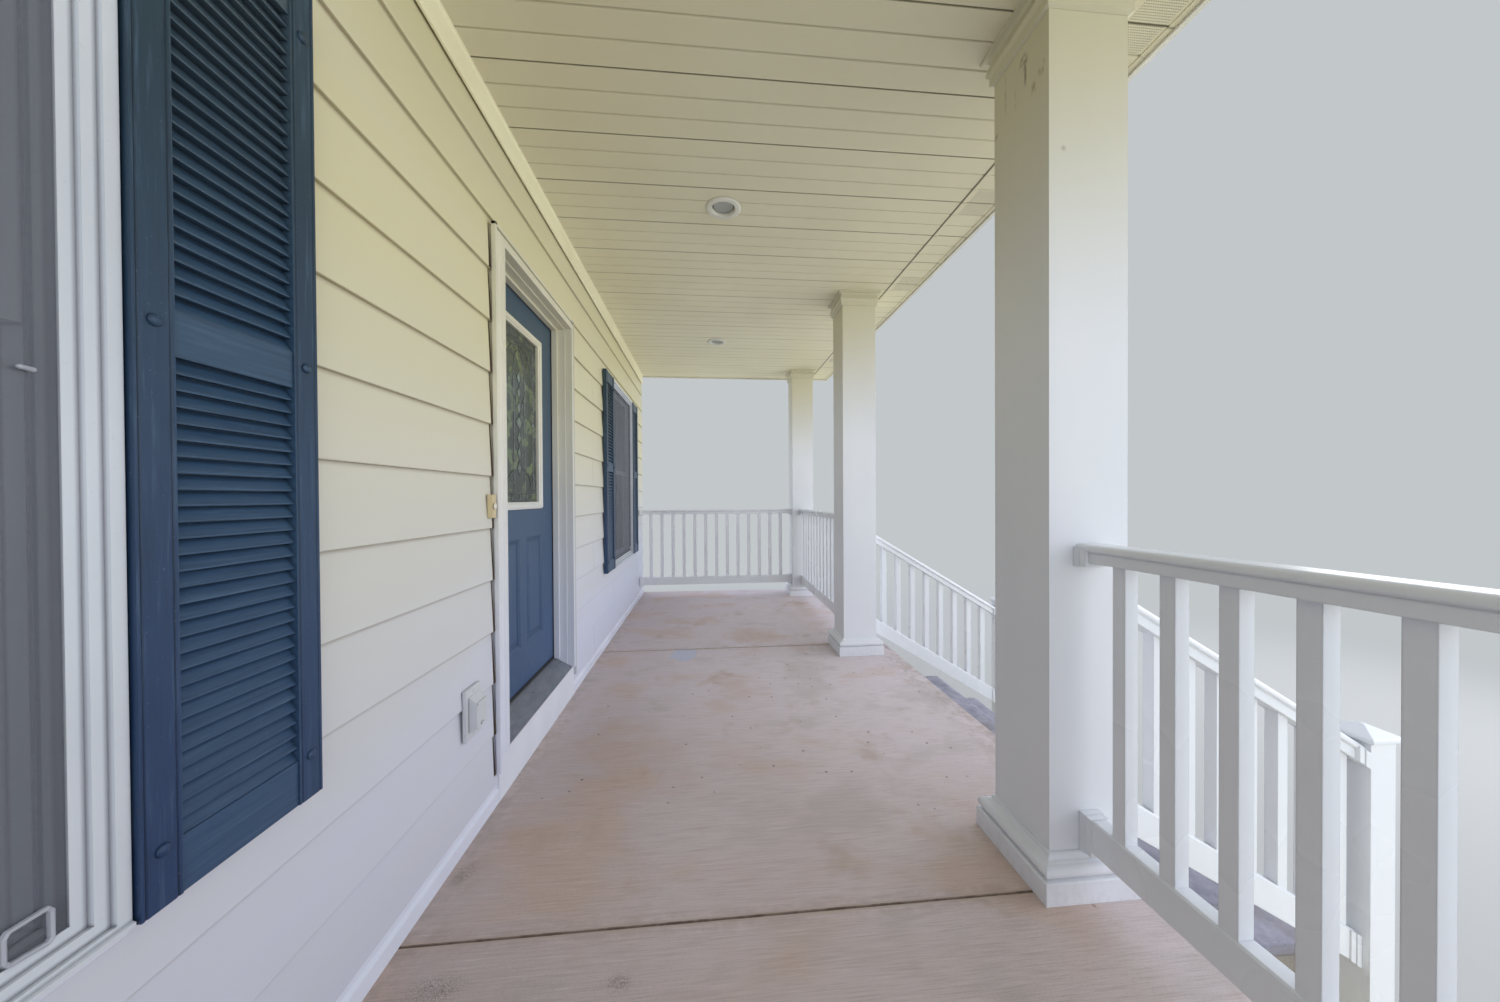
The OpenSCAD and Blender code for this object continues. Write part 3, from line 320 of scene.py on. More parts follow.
def make_column():
    """White wraps, shaded at the top, with the stains on the near column's capital."""
    g = Graph("column_white", 0.38)
    cloud = g.noise(1.6, 3, 0.6, (1, 1, 0.5))
    tone = g.mix(g.steps(cloud, 0.35, 0.7), "#f0f1f4", "#eaecf0")
    z = g.axis(2)
    tone = g.mix(g.steps(z, 2.3, 3.4, 0.0, 0.9), tone, "#d3ccab")
    ragged = g.noise(42, 3, 0.7, (1, 1, 0.6))
    splash = g.math("MULTIPLY", g.steps(z, 0.74, 0.86, 1.0, 0.0), g.steps(ragged, 0.45, 0.7))
    tone = g.mix(g.math("MULTIPLY", splash, 0.15), tone, "#b5aa9c")
    marks = [((-1.068, COLUMN_IN_Y, 3.351), (0.026, 0.04, 0.035), "#5e4a30", 0.9),
             ((-1.076, COLUMN_IN_Y, 3.306), (0.008, 0.04, 0.055), "#6b5a40", 0.7),
             ((-1.147, COLUMN_IN_Y, 3.262), (0.022, 0.04, 0.030), "#93714f", 0.6),
             ((-1.113, COLUMN_IN_Y, 3.230), (0.016, 0.04, 0.028), "#8d6a47", 0.6),
             ((-0.930, COLUMN_IN_Y, 3.222), (0.013, 0.04, 0.016), "#8a6f52", 0.55),
             ((-0.979, COLUMN_IN_Y, 3.330), (0.006, 0.04, 0.110), "#a3937a", 0.5),
             ((-1.029, COLUMN_IN_Y, 3.240), (0.005, 0.04, 0.100), "#a3937a", 0.45),
             ((-1.177, -0.774, 2.996), (0.030, 0.012, 0.012), "#9c8f80", 0.5)]
    for point, radii, colour, share in marks:
        mask = g.math("MULTIPLY", g.near(point, radii, 0.2), g.steps(ragged, 0.38, 0.55))
        tone = g.mix(g.math("MULTIPLY", mask, share), tone, colour)
    g.color(tone).rough(g.math("MULTIPLY_ADD", cloud, 0.12, 0.32))
    return g.relief(None, 0.0, 0.0022)


column_mat = make_column()
dress(column_mat, "columns_left", "columns_right", "column_mouldings")
rail_mat = make_plain("railing_vinyl", "#f1f3f6", "#eff1f4", 0.28, 0.0040, "#9a9691", 0.0, 0.0, 0.0)
dress(rail_mat, "rail_left", "rail_right", "end_rail_left", "end_rail_right",
      "stair_rail_left", "stair_rail_right", "newel_posts")


def make_floor():
    """Broomed concrete with tan clouds, litter, a wet patch with a painted sky reflection and two
    control joints; painted light far off and at the front, painted shade by the wall.
    """
    g = Graph("broomed_concrete", 0.85)
    x, y = g.axis(0), g.axis(1)
    cloud = g.noise(1.1, 3, 0.62, (1, 0.6, 1), (3.1, 0, 0))
    tone = g.mix(g.steps(cloud, 0.3, 0.72), "#c8b2a9", "#d3c2bd")
    warm = g.noise(0.7, 2, 0.5, (1, 1, 1), (9, 4, 0))
    tone = g.mix(g.steps(warm, 0.45, 0.7, 0.0, 0.5), tone, "#c9ae9d")
    # Painted light: paler far off and towards the open front; painted shade: darker towards the wall.
    tone = g.mix(g.steps(x, -1.9, 0.6, 0.0, 0.8), tone, "#e3d8df")
    tone = g.mix(g.steps(y, 0.3, -0.5, 0.0, 0.3), tone, "#efe4e4")
    tone = g.mix(g.steps(y, 0.2, 1.0, 0.0, 0.35), tone, "#ae9c96")
    tan = g.noise(2.3, 3, 0.6, (1, 0.7, 1), (4, 1, 0))
    tone = g.mix(g.steps(tan, 0.50, 0.70, 0.0, 0.4), tone, "#cfa888")
    tone = g.mix(g.steps(tan, 0.46, 0.34, 0.0, 0.35), tone, "#b9b2ab")
    broom = g.noise(320, 2, 0.6, (1, 0.025, 1))
    tone = g.mix(g.steps(broom, 0.42, 0.72, 0.0, 0.33), tone, "#a29083")
    tone = g.mix(g.steps(broom, 0.40, 0.26, 0.0, 0.3), tone, "#efe3da")
    grit = g.noise(520, 2, 0.5)
    tone = g.mix(g.steps(grit, 0.58, 0.70, 0.0, 0.45), tone, "#93857b")
    tone = g.mix(g.steps(grit, 0.38, 0.30, 0.0, 0.3), tone, "#ece4de")
    blot = g.steps(g.noise(3.4, 3, 0.7, (1, 1, 1), (1.7, 5.2, 0)), 0.56, 0.76, 0.0, 0.5)
    tone = g.mix(blot, tone, "#b99f8c")
    leaf = g.cells(13, (1, 1, 0.01))
    spot = g.math("MULTIPLY", g.steps(leaf, 0.10, 0.05),
                  g.steps(warm, 0.48, 0.56))
    dirt = g.steps(g.noise(17, 2, 0.7), 0.35, 0.65)
    tone = g.mix(g.math("MULTIPLY", spot, 0.75), tone, "#4d3d31")
    wall_dirt = g.math("MULTIPLY", g.steps(y, 0.98, 1.14), dirt)
    tone = g.mix(g.math("MULTIPLY", wall_dirt, 0.4), tone, "#9c8f85")
    edge_dirt = g.math("MULTIPLY", g.steps(y, -0.90, -1.12), dirt)
    tone = g.mix(g.math("MULTIPLY", edge_dirt, 0.4), tone, "#9c8b7a")
    ragged = g.math("MULTIPLY_ADD", dirt, 0.5, 0.75)
    puddle = g.near((1.05, 0.50, FLOOR_MARK_Z), (0.24, 0.17, 0.3), 0.0)
    wet_and_reflection = g.steps(g.math("MULTIPLY", puddle, ragged), 0.30, 0.42)
    # A real wet patch; its bluish tone is a painted sky reflection.
    tone = g.mix(g.math("MULTIPLY", wet_and_reflection, 0.7), tone, "#c0c7dc")
    for px, py, rx, ry in ((-1.285, 0.975, 0.05, 0.11), (-1.310, 0.530, 0.035, 0.05),
                           (-0.93, 1.09, 0.06, 0.05)):
        heap = g.near((px, py, FLOOR_MARK_Z), (rx, ry, 0.3), 0.1)
        litter = g.math("MULTIPLY", heap, g.steps(grit, 0.50, 0.58))
        tone = g.mix(g.math("MULTIPLY", litter, 0.7), tone, "#4a3c30")
    for place in (-JOINT_X, JOINT_X):
        apart = g.band(0, place)
        chipped = g.math("MULTIPLY_ADD", dirt, 0.006, apart)
        tone = g.mix(g.steps(chipped, 0.015, 0.011, 0.0, 0.55), tone, "#c2ad98")
        worn = g.math("MULTIPLY_ADD", dirt, 0.0022, apart)
        tone = g.mix(g.steps(worn, 0.0070, 0.0034, 0.0, 0.75), tone, "#7a685b")
        halo = g.math("MULTIPLY", g.steps(apart, 0.060, 0.008), dirt)
        tone = g.mix(g.math("MULTIPLY", halo, 0.3), tone, "#a58f7f")
    return g.color(tone)


dress(make_floor(), "porch_slab")


def make_blocks():
    """Concrete blocks with mortar lines, damp at the foot."""
    g = Graph("foundation_blocks", 0.9)
    brick = g.new("ShaderNodeTexBrick", offset=0.5, squash=1.0)
    turn = g.new("ShaderNodeCombineXYZ")
    g.put(turn.inputs[0], g.math("ADD", g.axis(0), g.axis(1)))
    g.put(turn.inputs[1], g.axis(2))
    g.put(brick.inputs["Vector"], turn.outputs[0])
    for key, value in (("Scale", 1.0), ("Mortar Size", 0.005), ("Mortar Smooth", 0.3),
                       ("Bias", 0.0), ("Brick Width", 0.4064), ("Row Height", 0.2032)):
        brick.inputs[key].default_value = value
    brick.inputs["Color1"].default_value = srgb("#a9a49b")
    brick.inputs["Color2"].default_value = srgb("#b9b3a8")
    brick.inputs["Mortar"].default_value = srgb("#8f8a82")
    grit = g.noise(120, 3, 0.65)
    tone = g.mix(g.steps(grit, 0.3, 0.8, 0.0, 0.45), brick.outputs["Color"], "#7f7a72")
    damp = g.math("MULTIPLY", g.steps(g.axis(2), 0.0, 0.28, 1.0, 0.0), g.noise(6, 2))
    tone = g.mix(g.math("MULTIPLY", damp, 0.7), tone, "#6d675d")
    g.color(tone)
    height = g.math("MULTIPLY_ADD", brick.outputs["Fac"], -3.0, grit)
    return g.relief(height, 0.003)


dress(make_blocks(), "foundation")


def make_rough_stone(name, low, high, accent, scale):
    """Broken stone or grit between two tones, with an accent colour."""
    g = Graph(name, 0.8)
    cloud = g.noise(scale, 5, 0.65)
    tone = g.mix(g.steps(cloud, 0.3, 0.7), low, high)
    layers = g.noise(scale * 0.4, 3, 0.5, (1, 1, 3))
    tone = g.mix(g.steps(layers, 0.5, 0.75, 0.0, 0.5), tone, accent)
    grit = g.noise(scale * 22, 3, 0.6)
    tone = g.mix(g.steps(grit, 0.55, 0.8, 0.0, 0.4), tone, "#3b3d42")
    g.color(tone)
    return g.relief(g.math("ADD", grit, g.math("MULTIPLY", cloud, 2.0)), 0.003)


stone_mat = make_rough_stone("split_stone", "#8e8f9c", "#b1aebb", "#8a7f76", 9)
dress(make_rough_stone("step_concrete", "#9b938a", "#aca49a", "#8a8178", 6), "step_base")


def make_boards():
    """Sheathing boards on the back of the wall."""
    g = Graph("wall_sheathing", 0.75)
    grain = g.noise(26, 3, 0.65, (1, 1, 0.08), warp=1.2)
    tone = g.mix(g.steps(grain, 0.3, 0.7), "#d6c7a6", "#c2ae88")
    flake = g.cells(34, (1, 1, 0.45))
    tone = g.mix(g.steps(flake, 0.1, 0.9, 0.0, 0.35), tone, "#ab9268")
    tone = g.mix(g.steps(g.beat_middle(0, 1.22), 0.003, 0.0015), tone, "#5b4c34")
    g.color(tone)
    return g.relief(grain, 0.0015)


dress(make_boards(), "wall_left", "wall_right", "wall_over_door")


def make_wood():
    """Sawn wood with its grain along X."""
    g = Graph("beam_wood", 0.7)
    grain = g.noise(22, 3, 0.6, (0.06, 1, 1), warp=1.5)
    tone = g.mix(g.steps(grain, 0.3, 0.7), "#c9a878", "#a98250")
    g.color(tone)
    return g.relief(grain, 0.001)


dress(make_wood(), "porch_beam")


def make_ceiling(name, vents):
    """Grooved vinyl panels with painted shade towards the near end, with rows of small vent holes on
    every third one.
    """
    g = Graph(name, 0.5)
    cloud = g.noise(0.9, 2, 0.5)
    tone = g.mix(g.steps(cloud, 0.35, 0.7), "#f1ebce", "#eae3c6")
    # Painted shade towards the near end of the ceiling.
    tone = g.mix(g.steps(g.axis(0), -2.0, 1.6, 0.45, 0.0), tone, "#c4bc9f")
    line = g.steps(g.beat_middle(0, GROOVE_PITCH), 0.0060 / GROOVE_PITCH, 0.0018 / GROOVE_PITCH,
                   0.0, 0.18)
    joint = g.steps(g.beat_middle(0, PANEL_PITCH), 0.0050 / PANEL_PITCH, 0.0020 / PANEL_PITCH,
                    0.0, 0.6)
    seam = g.steps(g.band(1, SEAM_Y), 0.0070, 0.0025, 0.0, 0.7)
    dark = g.math("MAXIMUM", g.math("MAXIMUM", line, joint), seam)
    tone = g.mix(dark, tone, "#6f6a54")
    if vents:
        dots = [g.math("POWER", g.math("SUBTRACT", g.beat(index, VENT_PITCH), 0.5), 2.0)
                for index in (0, 1)]
        hole = g.steps(g.math("ADD", dots[0], dots[1]), 0.085, 0.05)
        panel = g.beat(0, PANEL_PITCH)
        rows = g.math("MULTIPLY", g.steps(panel, 0.18, 0.19), g.steps(panel, 0.82, 0.81))
        rows = g.math("MULTIPLY", rows, g.steps(g.beat(0, 3 * PANEL_PITCH), 0.66, 0.67))
        y = g.axis(1)
        deep = g.math("MULTIPLY", g.steps(y, -1.235, -1.225), g.steps(y, -1.085, -1.095))
        mask = g.math("MULTIPLY", hole, g.math("MULTIPLY", rows, deep))
        tone = g.mix(g.math("MULTIPLY", mask, 0.8), tone, "#4b4838")
    return g.color(tone).rough(g.math("MULTIPLY_ADD", cloud, 0.2, 0.4))


dress(make_ceiling("ceiling_vinyl", False), "porch_ceiling")
dress(make_ceiling("soffit_vinyl", True), "eave_soffit")
# Dark corners of the eave boards and light housings are painted shade.
white_metal = make_plain("white_metal", "#e9e7dc", "#dedccf", 0.4, 0.0015, "#7d776a", 0.5)
dress(white_metal, "eave_boards", "ceiling_lights")


def make_shutter():
    """Dusty blue plastic with a wood grain: upright on the stiles, level on what lies between; painted
    light bluer low and greyer high, painted shade in crevices.
    """
    g = Graph("shutter_plastic", 0.5)
    inside = None
    for centre in SHUTTER_X:
        part = g.steps(g.band(0, centre), 0.1015, 0.1000)
        inside = part if inside is None else g.math("MAXIMUM", inside, part)
    upright, level = g.mapped((1, 1, 0.05)), g.mapped((0.05, 1, 1))
    fibre = g.noise(130, 3, 0.6, vector=g.mix(inside, upright, level))
    z = g.axis(2)
    # Painted light: bluer low, greyer high.
    base = g.mix(g.steps(z, 1.4, 2.9), "#233d64", "#223c4a")
    base = g.mix(g.math("MULTIPLY", inside, 0.4), base, "#46647f")
    dust = g.math("MULTIPLY", inside, g.steps(z, 2.2, 2.9, 0.0, 0.4))
    base = g.mix(dust, base, "#5c625c")
    fade = g.steps(g.noise(3, 3, 0.6, (1, 1, 0.6)), 0.4, 0.72, 0.0, 0.4)
    tone = g.mix(fade, base, "#3c5870")
    tone = g.mix(g.steps(fibre, 0.52, 0.75, 0.0, 0.35), tone, "#557089")
    tone = g.mix(g.steps(fibre, 0.48, 0.3, 0.0, 0.35), tone, "#1b2e45")
    # Painted shade in the crevices between louvres and stiles.
    tone = g.mix(g.math("MULTIPLY", g.crevice(0.009, 0.35, 0.85), 0.55), tone, "#141d26")
    chalk = g.steps(g.noise(210, 2, 0.5), 0.70, 0.76, 0.0, 0.22)
    tone = g.mix(chalk, tone, "#7b8d9c")
    return g.color(tone).rough(g.math("MULTIPLY_ADD", fade, 0.3, 0.42))


shutter_mat = make_shutter()
dress(shutter_mat, "shutters_left", "shutters_right")


def make_door():
    """Painted door with a faint upright grain, painted shade in the panel grooves, painted light bluer
    low and greyer high.
    """
    g = Graph("door_paint", 0.36)
    grain = g.noise(90, 3, 0.62, (1, 1, 0.045), warp=1.4)
    z = g.axis(2)
    # Painted light: bluer low, greyer high.
    tone = g.mix(g.steps(z, 1.0, 2.9), "#39567c", "#3a5263")
    tone = g.mix(g.steps(grain, 0.5, 0.78, 0.0, 0.22), tone, "#5b7796")
    # Painted shade in the panel grooves.
    tone = g.mix(g.math("MULTIPLY", g.crevice(0.014, 0.5, 0.97), 0.85), tone, "#142132")
    worn = g.steps(g.noise(44, 2), 0.55, 0.7)
    scuff = g.math("MULTIPLY", g.steps(z, 0.95, 1.25, 1.0, 0.0), worn)
    tone = g.mix(g.math("MULTIPLY", scuff, 0.2), tone, "#8b9097")
    g.color(tone).rough(g.math("MULTIPLY_ADD", grain, 0.15, 0.3))
    return g.relief(grain, 0.0005, 0.0012)


dress(make_door(), "door_leaf")


def make_sill_metal():
    """Ribbed aluminium of the threshold."""
    g = Graph("threshold_metal", 0.38, Metallic=0.75)
    rib = g.math("SINE", g.math("MULTIPLY", g.axis(1), 2 * math.pi / 0.0052))
    wear = g.noise(30, 3, 0.7, (0.3, 1, 1))
    tone = g.mix(g.steps(wear, 0.35, 0.7), "#a6adba", "#bcc1c9")
    tone = g.mix(g.steps(rib, -0.2, -0.9, 0.0, 0.6), tone, "#545962")
    # Painted shade in the corners.
    tone = g.mix(g.math("MULTIPLY", g.crevice(0.012), 0.5), tone, "#4f463c")
    g.color(tone)
    return g.relief(rib, 0.0009)


dress(make_sill_metal(), "door_threshold")


def make_glass(name, tint, rough, alpha, ripple):
    """Dark glass between two tints, a third one in spots, with a ripple."""
    g = Graph(name, rough, Alpha=alpha)
    g.shader.inputs["Specular IOR Level"].default_value = 0.6
    cloud = g.noise(3.0, 2, 0.5, (1, 1, 0.35))
    tone = g.mix(g.steps(cloud, 0.3, 0.75), tint[0], tint[1])
    # Spots of the third tint, given only for the door glass, are a painted reflection.
    if len(tint) > 2:
        tone = g.mix(g.steps(g.noise(13, 2, 0.6), 0.50, 0.66, 0.0, 0.6), tone, tint[2])
    g.color(tone)
    return g.relief(g.noise(ripple, 2, 0.5), 0.0008)


# The dark, almost opaque tint is painted shade of the room behind the pane.
dress(make_glass("window_glass", ("#141719", "#2a2e30"), 0.05, 0.93, 1.5), "window_panes")
# Door glass: the dark tints are painted shade of the room behind, the green spots a painted reflection
# of trees.
door_glass_mat = make_glass("door_glass", ("#1f2b22", "#4d5c50", "#7d8d5c"), 0.10, 0.96, 60)
dress(door_glass_mat, "door_glass")


def make_screen():
    """Insect screen, half see-through, with faint upright streaks of painted reflection."""
    g = Graph("screen_mesh", 0.6, Alpha=0.45)
    weave = g.noise(900, 2, 0.5, (1, 1, 1))
    streak_reflection = g.noise(9, 2, 0.6, (1, 1, 0.06))
    # Painted reflection: faint upright streaks.
    tone = g.mix(g.steps(streak_reflection, 0.35, 0.7), "#7c808a", "#8e929b")
    tone = g.mix(g.steps(weave, 0.4, 0.6, 0.0, 0.35), tone, "#4c5058")
    return g.color(tone)


dress(make_screen(), "window_screens")


def make_metal(name, colour, dark, rough):
    """Worn metal, brushed along Z."""
    g = Graph(name, rough, Metallic=1.0)
    wear = g.noise(45, 3, 0.65)
    tone = g.mix(g.steps(wear, 0.4, 0.72), colour, dark)
    # Painted shade in the crevices.
    g.color(g.mix(g.math("MULTIPLY", g.crevice(0.004), 0.7), tone, "#2c2620"))
    g.rough(g.math("MULTIPLY_ADD", wear, 0.25, rough - 0.1))
    return g.relief(g.noise(260, 2, 0.5, (1, 1, 0.1)), 0.0001)


satin_metal = make_metal("satin_metal", "#c9c0a8", "#8f856e", 0.34)
dress(satin_metal, "door_lockset", "door_hinges")
rubber = make_plain("sweep_rubber", "#2a2b2e", "#202124", 0.6, 0.001, "#55504a", 0.3)
dress(rubber, "door_sweep")
# The dark corners of the outlet cover and the doorbell are painted shade.
plate_mat = make_plain("outlet_plastic", "#d9dade", "#cfd1d6", 0.35, 0.0012, "#7e7b76", 0.7, 0.005)
bell_mat = make_plain("bell_plastic", "#d9c79c", "#cdbb90", 0.4, 0.0012, "#7a6640", 0.6, 0.004)
dress(plate_mat, "outlet_cover")
dress(bell_mat, "doorbell")


# ---------- mesh helpers ----------
def piece(name, verts, faces, graph, body="porch", smooth=False):
    """Makes one piece that rides on a body of the frame."""
    mesh = bpy.data.meshes.new(name)
    mesh.from_pydata([tuple(v) for v in verts], [], faces)
    mesh.validate()
    mesh.update()
    fixer = bmesh.new()
    fixer.from_mesh(mesh)
    bmesh.ops.recalc_face_normals(fixer, faces=fixer.faces)
    fixer.to_mesh(mesh)
    fixer.free()
    for poly in mesh.polygons:
        poly.use_smooth = smooth
    mesh.materials.append(graph.mat)
    obj = bpy.data.objects.new(name, mesh)
    bpy.context.scene.collection.objects.link(obj)
    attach(obj, body)
    return obj


class Shape:
    """Vertices and faces gathered for one piece."""

    def __init__(self):
        self.verts = []
        self.faces = []

    def add(self, verts, faces):
        base = len(self.verts)
        self.verts.extend(Vector(v) for v in verts)
        self.faces.extend(tuple(i + base for i in f) for f in faces)

    def block(self, low, high, cut=0.0):
        """A block with its four long edges and its ends cut by a small bevel."""
        x0, y0, z0 = low
        x1, y1, z1 = high
        rings = []
        for z, inset in ((z0, cut), (z0 + cut, 0.0), (z1 - cut, 0.0), (z1, cut)):
            a, b, c, d = x0 + inset, x1 - inset, y0 + inset, y1 - inset
            rings.append([(a + cut, c, z), (b - cut, c, z), (b, c + cut, z), (b, d - cut, z),
                          (b - cut, d, z), (a + cut, d, z), (a, d - cut, z), (a, c + cut, z)])
        verts = [v for ring in rings for v in ring]
        faces = [tuple(range(7, -1, -1)), tuple(range(24, 32))]
        for r in range(3):
            for i in range(8):
                j = (i + 1) % 8
                faces.append((r * 8 + i, r * 8 + j, r * 8 + 8 + j, r * 8 + 8 + i))
        self.add(verts, faces)

    def lathe(self, profile, place, axis, count=20):
        """Turns [radius, height] points about the axis through place."""
        up = Vector(axis).normalized()
        side = up.orthogonal().normalized()
        other = up.cross(side)
        verts, faces = [], []
        for radius, height in profile:
            for i in range(count):
                angle = 2 * math.pi * i / count
                verts.append(Vector(place) + up * height
                             + (side * math.cos(angle) + other * math.sin(angle)) * radius)
        for r in range(len(profile) - 1):
            for i in range(count):
                j = (i + 1) % count
                k, m = r * count, (r + 1) * count
                faces.append((k + i, k + j, m + j, m + i))
        faces.append(tuple(range(count - 1, -1, -1)))
        faces.append(tuple(range((len(profile) - 1) * count, len(profile) * count)))
        self.add(verts, faces)

    def strip(self, points, half, rise, out, closed=False):
        """A raised bar with a rounded back along points that lie on a plane with normal out."""
        out = Vector(out).normalized()
        points = [Vector(p) for p in points]
        total = len(points)
        section = [(-1.0, 0.0), (-0.75, 0.7), (0.0, 1.0), (0.75, 0.7), (1.0, 0.0)]
        verts, faces = [], []
        for i, p in enumerate(points):
            before = points[(i - 1) % total] if closed or i else p
            after = points[(i + 1) % total] if closed or i < total - 1 else p
            a = (p - before).normalized() if (p - before).length > 1e-9 else None
            b = (after - p).normalized() if (after - p).length > 1e-9 else None
            along = ((a or b) + (b or a)).normalized()
            across = along.cross(out).normalized()
            stretch = 1.0 / max(0.5, abs(along.dot(a or b)))
            for s, h in section:
                verts.append(p + across * (s * half * stretch) + out * (h * rise))
        n = len(section)
        for i in range(total if closed else total - 1):
            k = (i + 1) % total
            for j in range(n - 1):
                faces.append((i * n + j, i * n + j + 1, k * n + j + 1, k * n + j))
            faces.append((i * n + n - 1, i * n, k * n, k * n + n - 1))
        if not closed:
            faces.append(tuple(range(n)))
            faces.append(tuple(range((total - 1) * n + n - 1, (total - 1) * n - 1, -1)))
        self.add(verts, faces)

    def make(self, name, graph, body="porch", smooth=False):
        return piece(name, self.verts, self.faces, graph, body, smooth)


def arch(x, z, rx, rz, count):
    """Points of half an ellipse over its middle."""
    turns = [math.radians(180 * i / count) for i in range(count + 1)]
    return [(x + rx * math.cos(t), z + rz * math.sin(t)) for t in turns]


# ---------- shutters: screw caps ----------
caps = Shape()
dome = [(0.0095, 0.0), (0.0095, 0.0012), (0.0086, 0.0032), (0.0062, 0.0050), (0.0030, 0.0060),
        (0.0006, 0.0062)]
for centre in SHUTTER_X:
    for side in (-1, 1):
        for z in SHUTTER_SCREW_Z:
            caps.lathe(dome, (centre + side * SHUTTER_SCREW_OFF, SHUTTER_Y, z), (0, -1, 0), 24)
caps.make("shutter_screw_caps", shutter_mat, smooth=True)

# ---------- windows: screen pulls and latches ----------
pulls = Shape()
for x in WINDOW_X:
    for side in (-1, 1):
        edge = x + side * (WINDOW_HALF - WINDOW_FACE_W - 0.016)
        loop = [(edge - side * a, SCREEN_Y, PULL_Z + b) for a, b in
                ((0.0, 0.0), (0.0, 0.034), (0.004, 0.040), (0.036, 0.040), (0.040, 0.034),
                 (0.040, 0.006), (0.036, 0.0), (0.004, -0.004))]
        pulls.strip(loop, 0.003, 0.006, (0, -1, 0), closed=True)
        pulls.lathe([(0.002, 0.0), (0.0035, 0.001), (0.003, 0.018), (0.0015, 0.020)],
                    (edge - side * 0.004, SCREEN_Y + 0.0015, LATCH_Z), (-side, -0.4, 0), 12)
# The pulls' dark corners are painted shade.
pull_mat = make_plain("pull_plastic", "#b9bcc4", "#a9adb5", 0.4, 0.0008, "#5c5b60", 0.5, 0.004)
pulls.make("screen_pulls", pull_mat)

# ---------- door: leaded glass ----------
came_mat = make_metal("lead_came", "#8d8f90", "#5a5c5e", 0.42)
bevel_mat = make_glass("bevelled_glass", ("#7f8f86", "#aebdae"), 0.04, 0.6, 4)
glass_in = 0.0103
spring = 0.20
gx0, gx1 = LIGHT_X[0] + glass_in, LIGHT_X[1] - glass_in
gz0, gz1 = LIGHT_Z[0] + glass_in, LIGHT_Z[1] - glass_in
gmid = (gx0 + gx1) / 2
for tag, y, out in (("out", LEAF_OUT_Y + 0.0130, -1), ("in", LEAF_IN_Y - 0.0130, 1)):
    lead = Shape()
    normal = (0, out, 0)

    def bar(points, half=0.0024, closed=False):
        lead.strip([(a, y, b) for a, b in points], half, 0.0024, normal, closed)

    for inset, half in ((0.010, 0.0030), (0.040, 0.0024), (0.052, 0.0020)):
        bar([(gx0 + inset, gz0 + inset), (gx1 - inset, gz0 + inset), (gx1 - inset, gz1 - inset),
             (gx0 + inset, gz1 - inset)], half, True)
    for k in range(1, 9):
        z = gz0 + 0.040 + (gz1 - gz0 - 0.080) * k / 9
        for a, b in ((gx0 + 0.010, gx0 + 0.040), (gx1 - 0.040, gx1 - 0.010)):
            bar([(a, z), (b, z)], 0.0018)
    for k in range(1, 4):
        x = gx0 + 0.040 + (gx1 - gx0 - 0.080) * k / 4
        for a, b in ((gz0 + 0.010, gz0 + 0.040), (gz1 - 0.040, gz1 - 0.010)):
            bar([(x, a), (x, b)], 0.0018)
    for dx in (-0.062, 0.062):
        bar([(gmid + dx, gz0 + 0.052), (gmid + dx, gz1 - spring)], 0.0020)
    bar(arch(gmid, gz1 - spring, 0.062, 0.11, 20), 0.0022)
    bar(arch(gmid, gz1 - spring, 0.150, 0.135, 26), 0.0022)
    bar(arch(gmid, gz0 + 0.052, 0.150, 0.12, 26), 0.0020)
    gems = Shape()
    for k in range(7):
        z = gz0 + 0.17 + 0.076 * k
        half_w, half_h = (0.026, 0.036) if k != 3 else (0.040, 0.036)
        diamond = [(gmid - half_w, z), (gmid, z - half_h), (gmid + half_w, z), (gmid, z + half_h)]
        bar(diamond, 0.0018, True)
        inner = [(gmid + (a - gmid) * 0.55, z + (b - z) * 0.55) for a, b in diamond]
        base = [(a, y, b) for a, b in diamond]
        top = [(a, y + out * 0.0022, b) for a, b in inner]
        gems.add(base + top, [(0, 1, 5, 4), (1, 2, 6, 5), (2, 3, 7, 6), (3, 0, 4, 7), (4, 5, 6, 7)])
    for s in (-1, 1):
        curl = [(gmid + s * (0.062 + 0.030 * math.sin(t) * t / 5), gz1 - 0.21 - 0.032 * t)
                for t in [i * 5.2 / 24 for i in range(25)]]
        bar(curl, 0.0018)
        for k in range(3):
            spoke = math.radians(38 + 26 * k)
            c, t = math.cos(spoke), math.sin(spoke)
            bar([(gmid + s * 0.062 * c, gz1 - spring + 0.11 * t),
                 (gmid + s * 0.150 * c, gz1 - spring + 0.135 * t)], 0.0018)
    lead.make("door_cames_" + tag, came_mat, "door")
    gems.make("door_bevels_" + tag, bevel_mat, "door")

# ---------- door: weather strip, threshold screws, hinge screws ----------
# The strip's dark corners are painted shade.
weather_mat = make_plain("weather_strip", "#7d5a44", "#6c4c3a", 0.55, 0.0, "#3a2a20", 0.4)
strip = Shape()
seal_y = (LEAF_OUT_Y - 0.0052, LEAF_OUT_Y - 0.0015)
for x0, x1, z0, z1 in ((DOOR_X[0] + 0.001, DOOR_X[0] + 0.011, SILL_TOP_Z + 0.002, STOP_TOP_Z),
                       (DOOR_X[1] - 0.011, DOOR_X[1] - 0.001, SILL_TOP_Z + 0.002, STOP_TOP_Z),
                       (DOOR_X[0] + 0.011, DOOR_X[1] - 0.011, STOP_TOP_Z + 0.0005,
                        STOP_TOP_Z + 0.0110)):
    strip.block((x0, seal_y[0], z0), (x1, seal_y[1], z1), 0.0008)
strip.make("door_weather_strip", weather_mat)

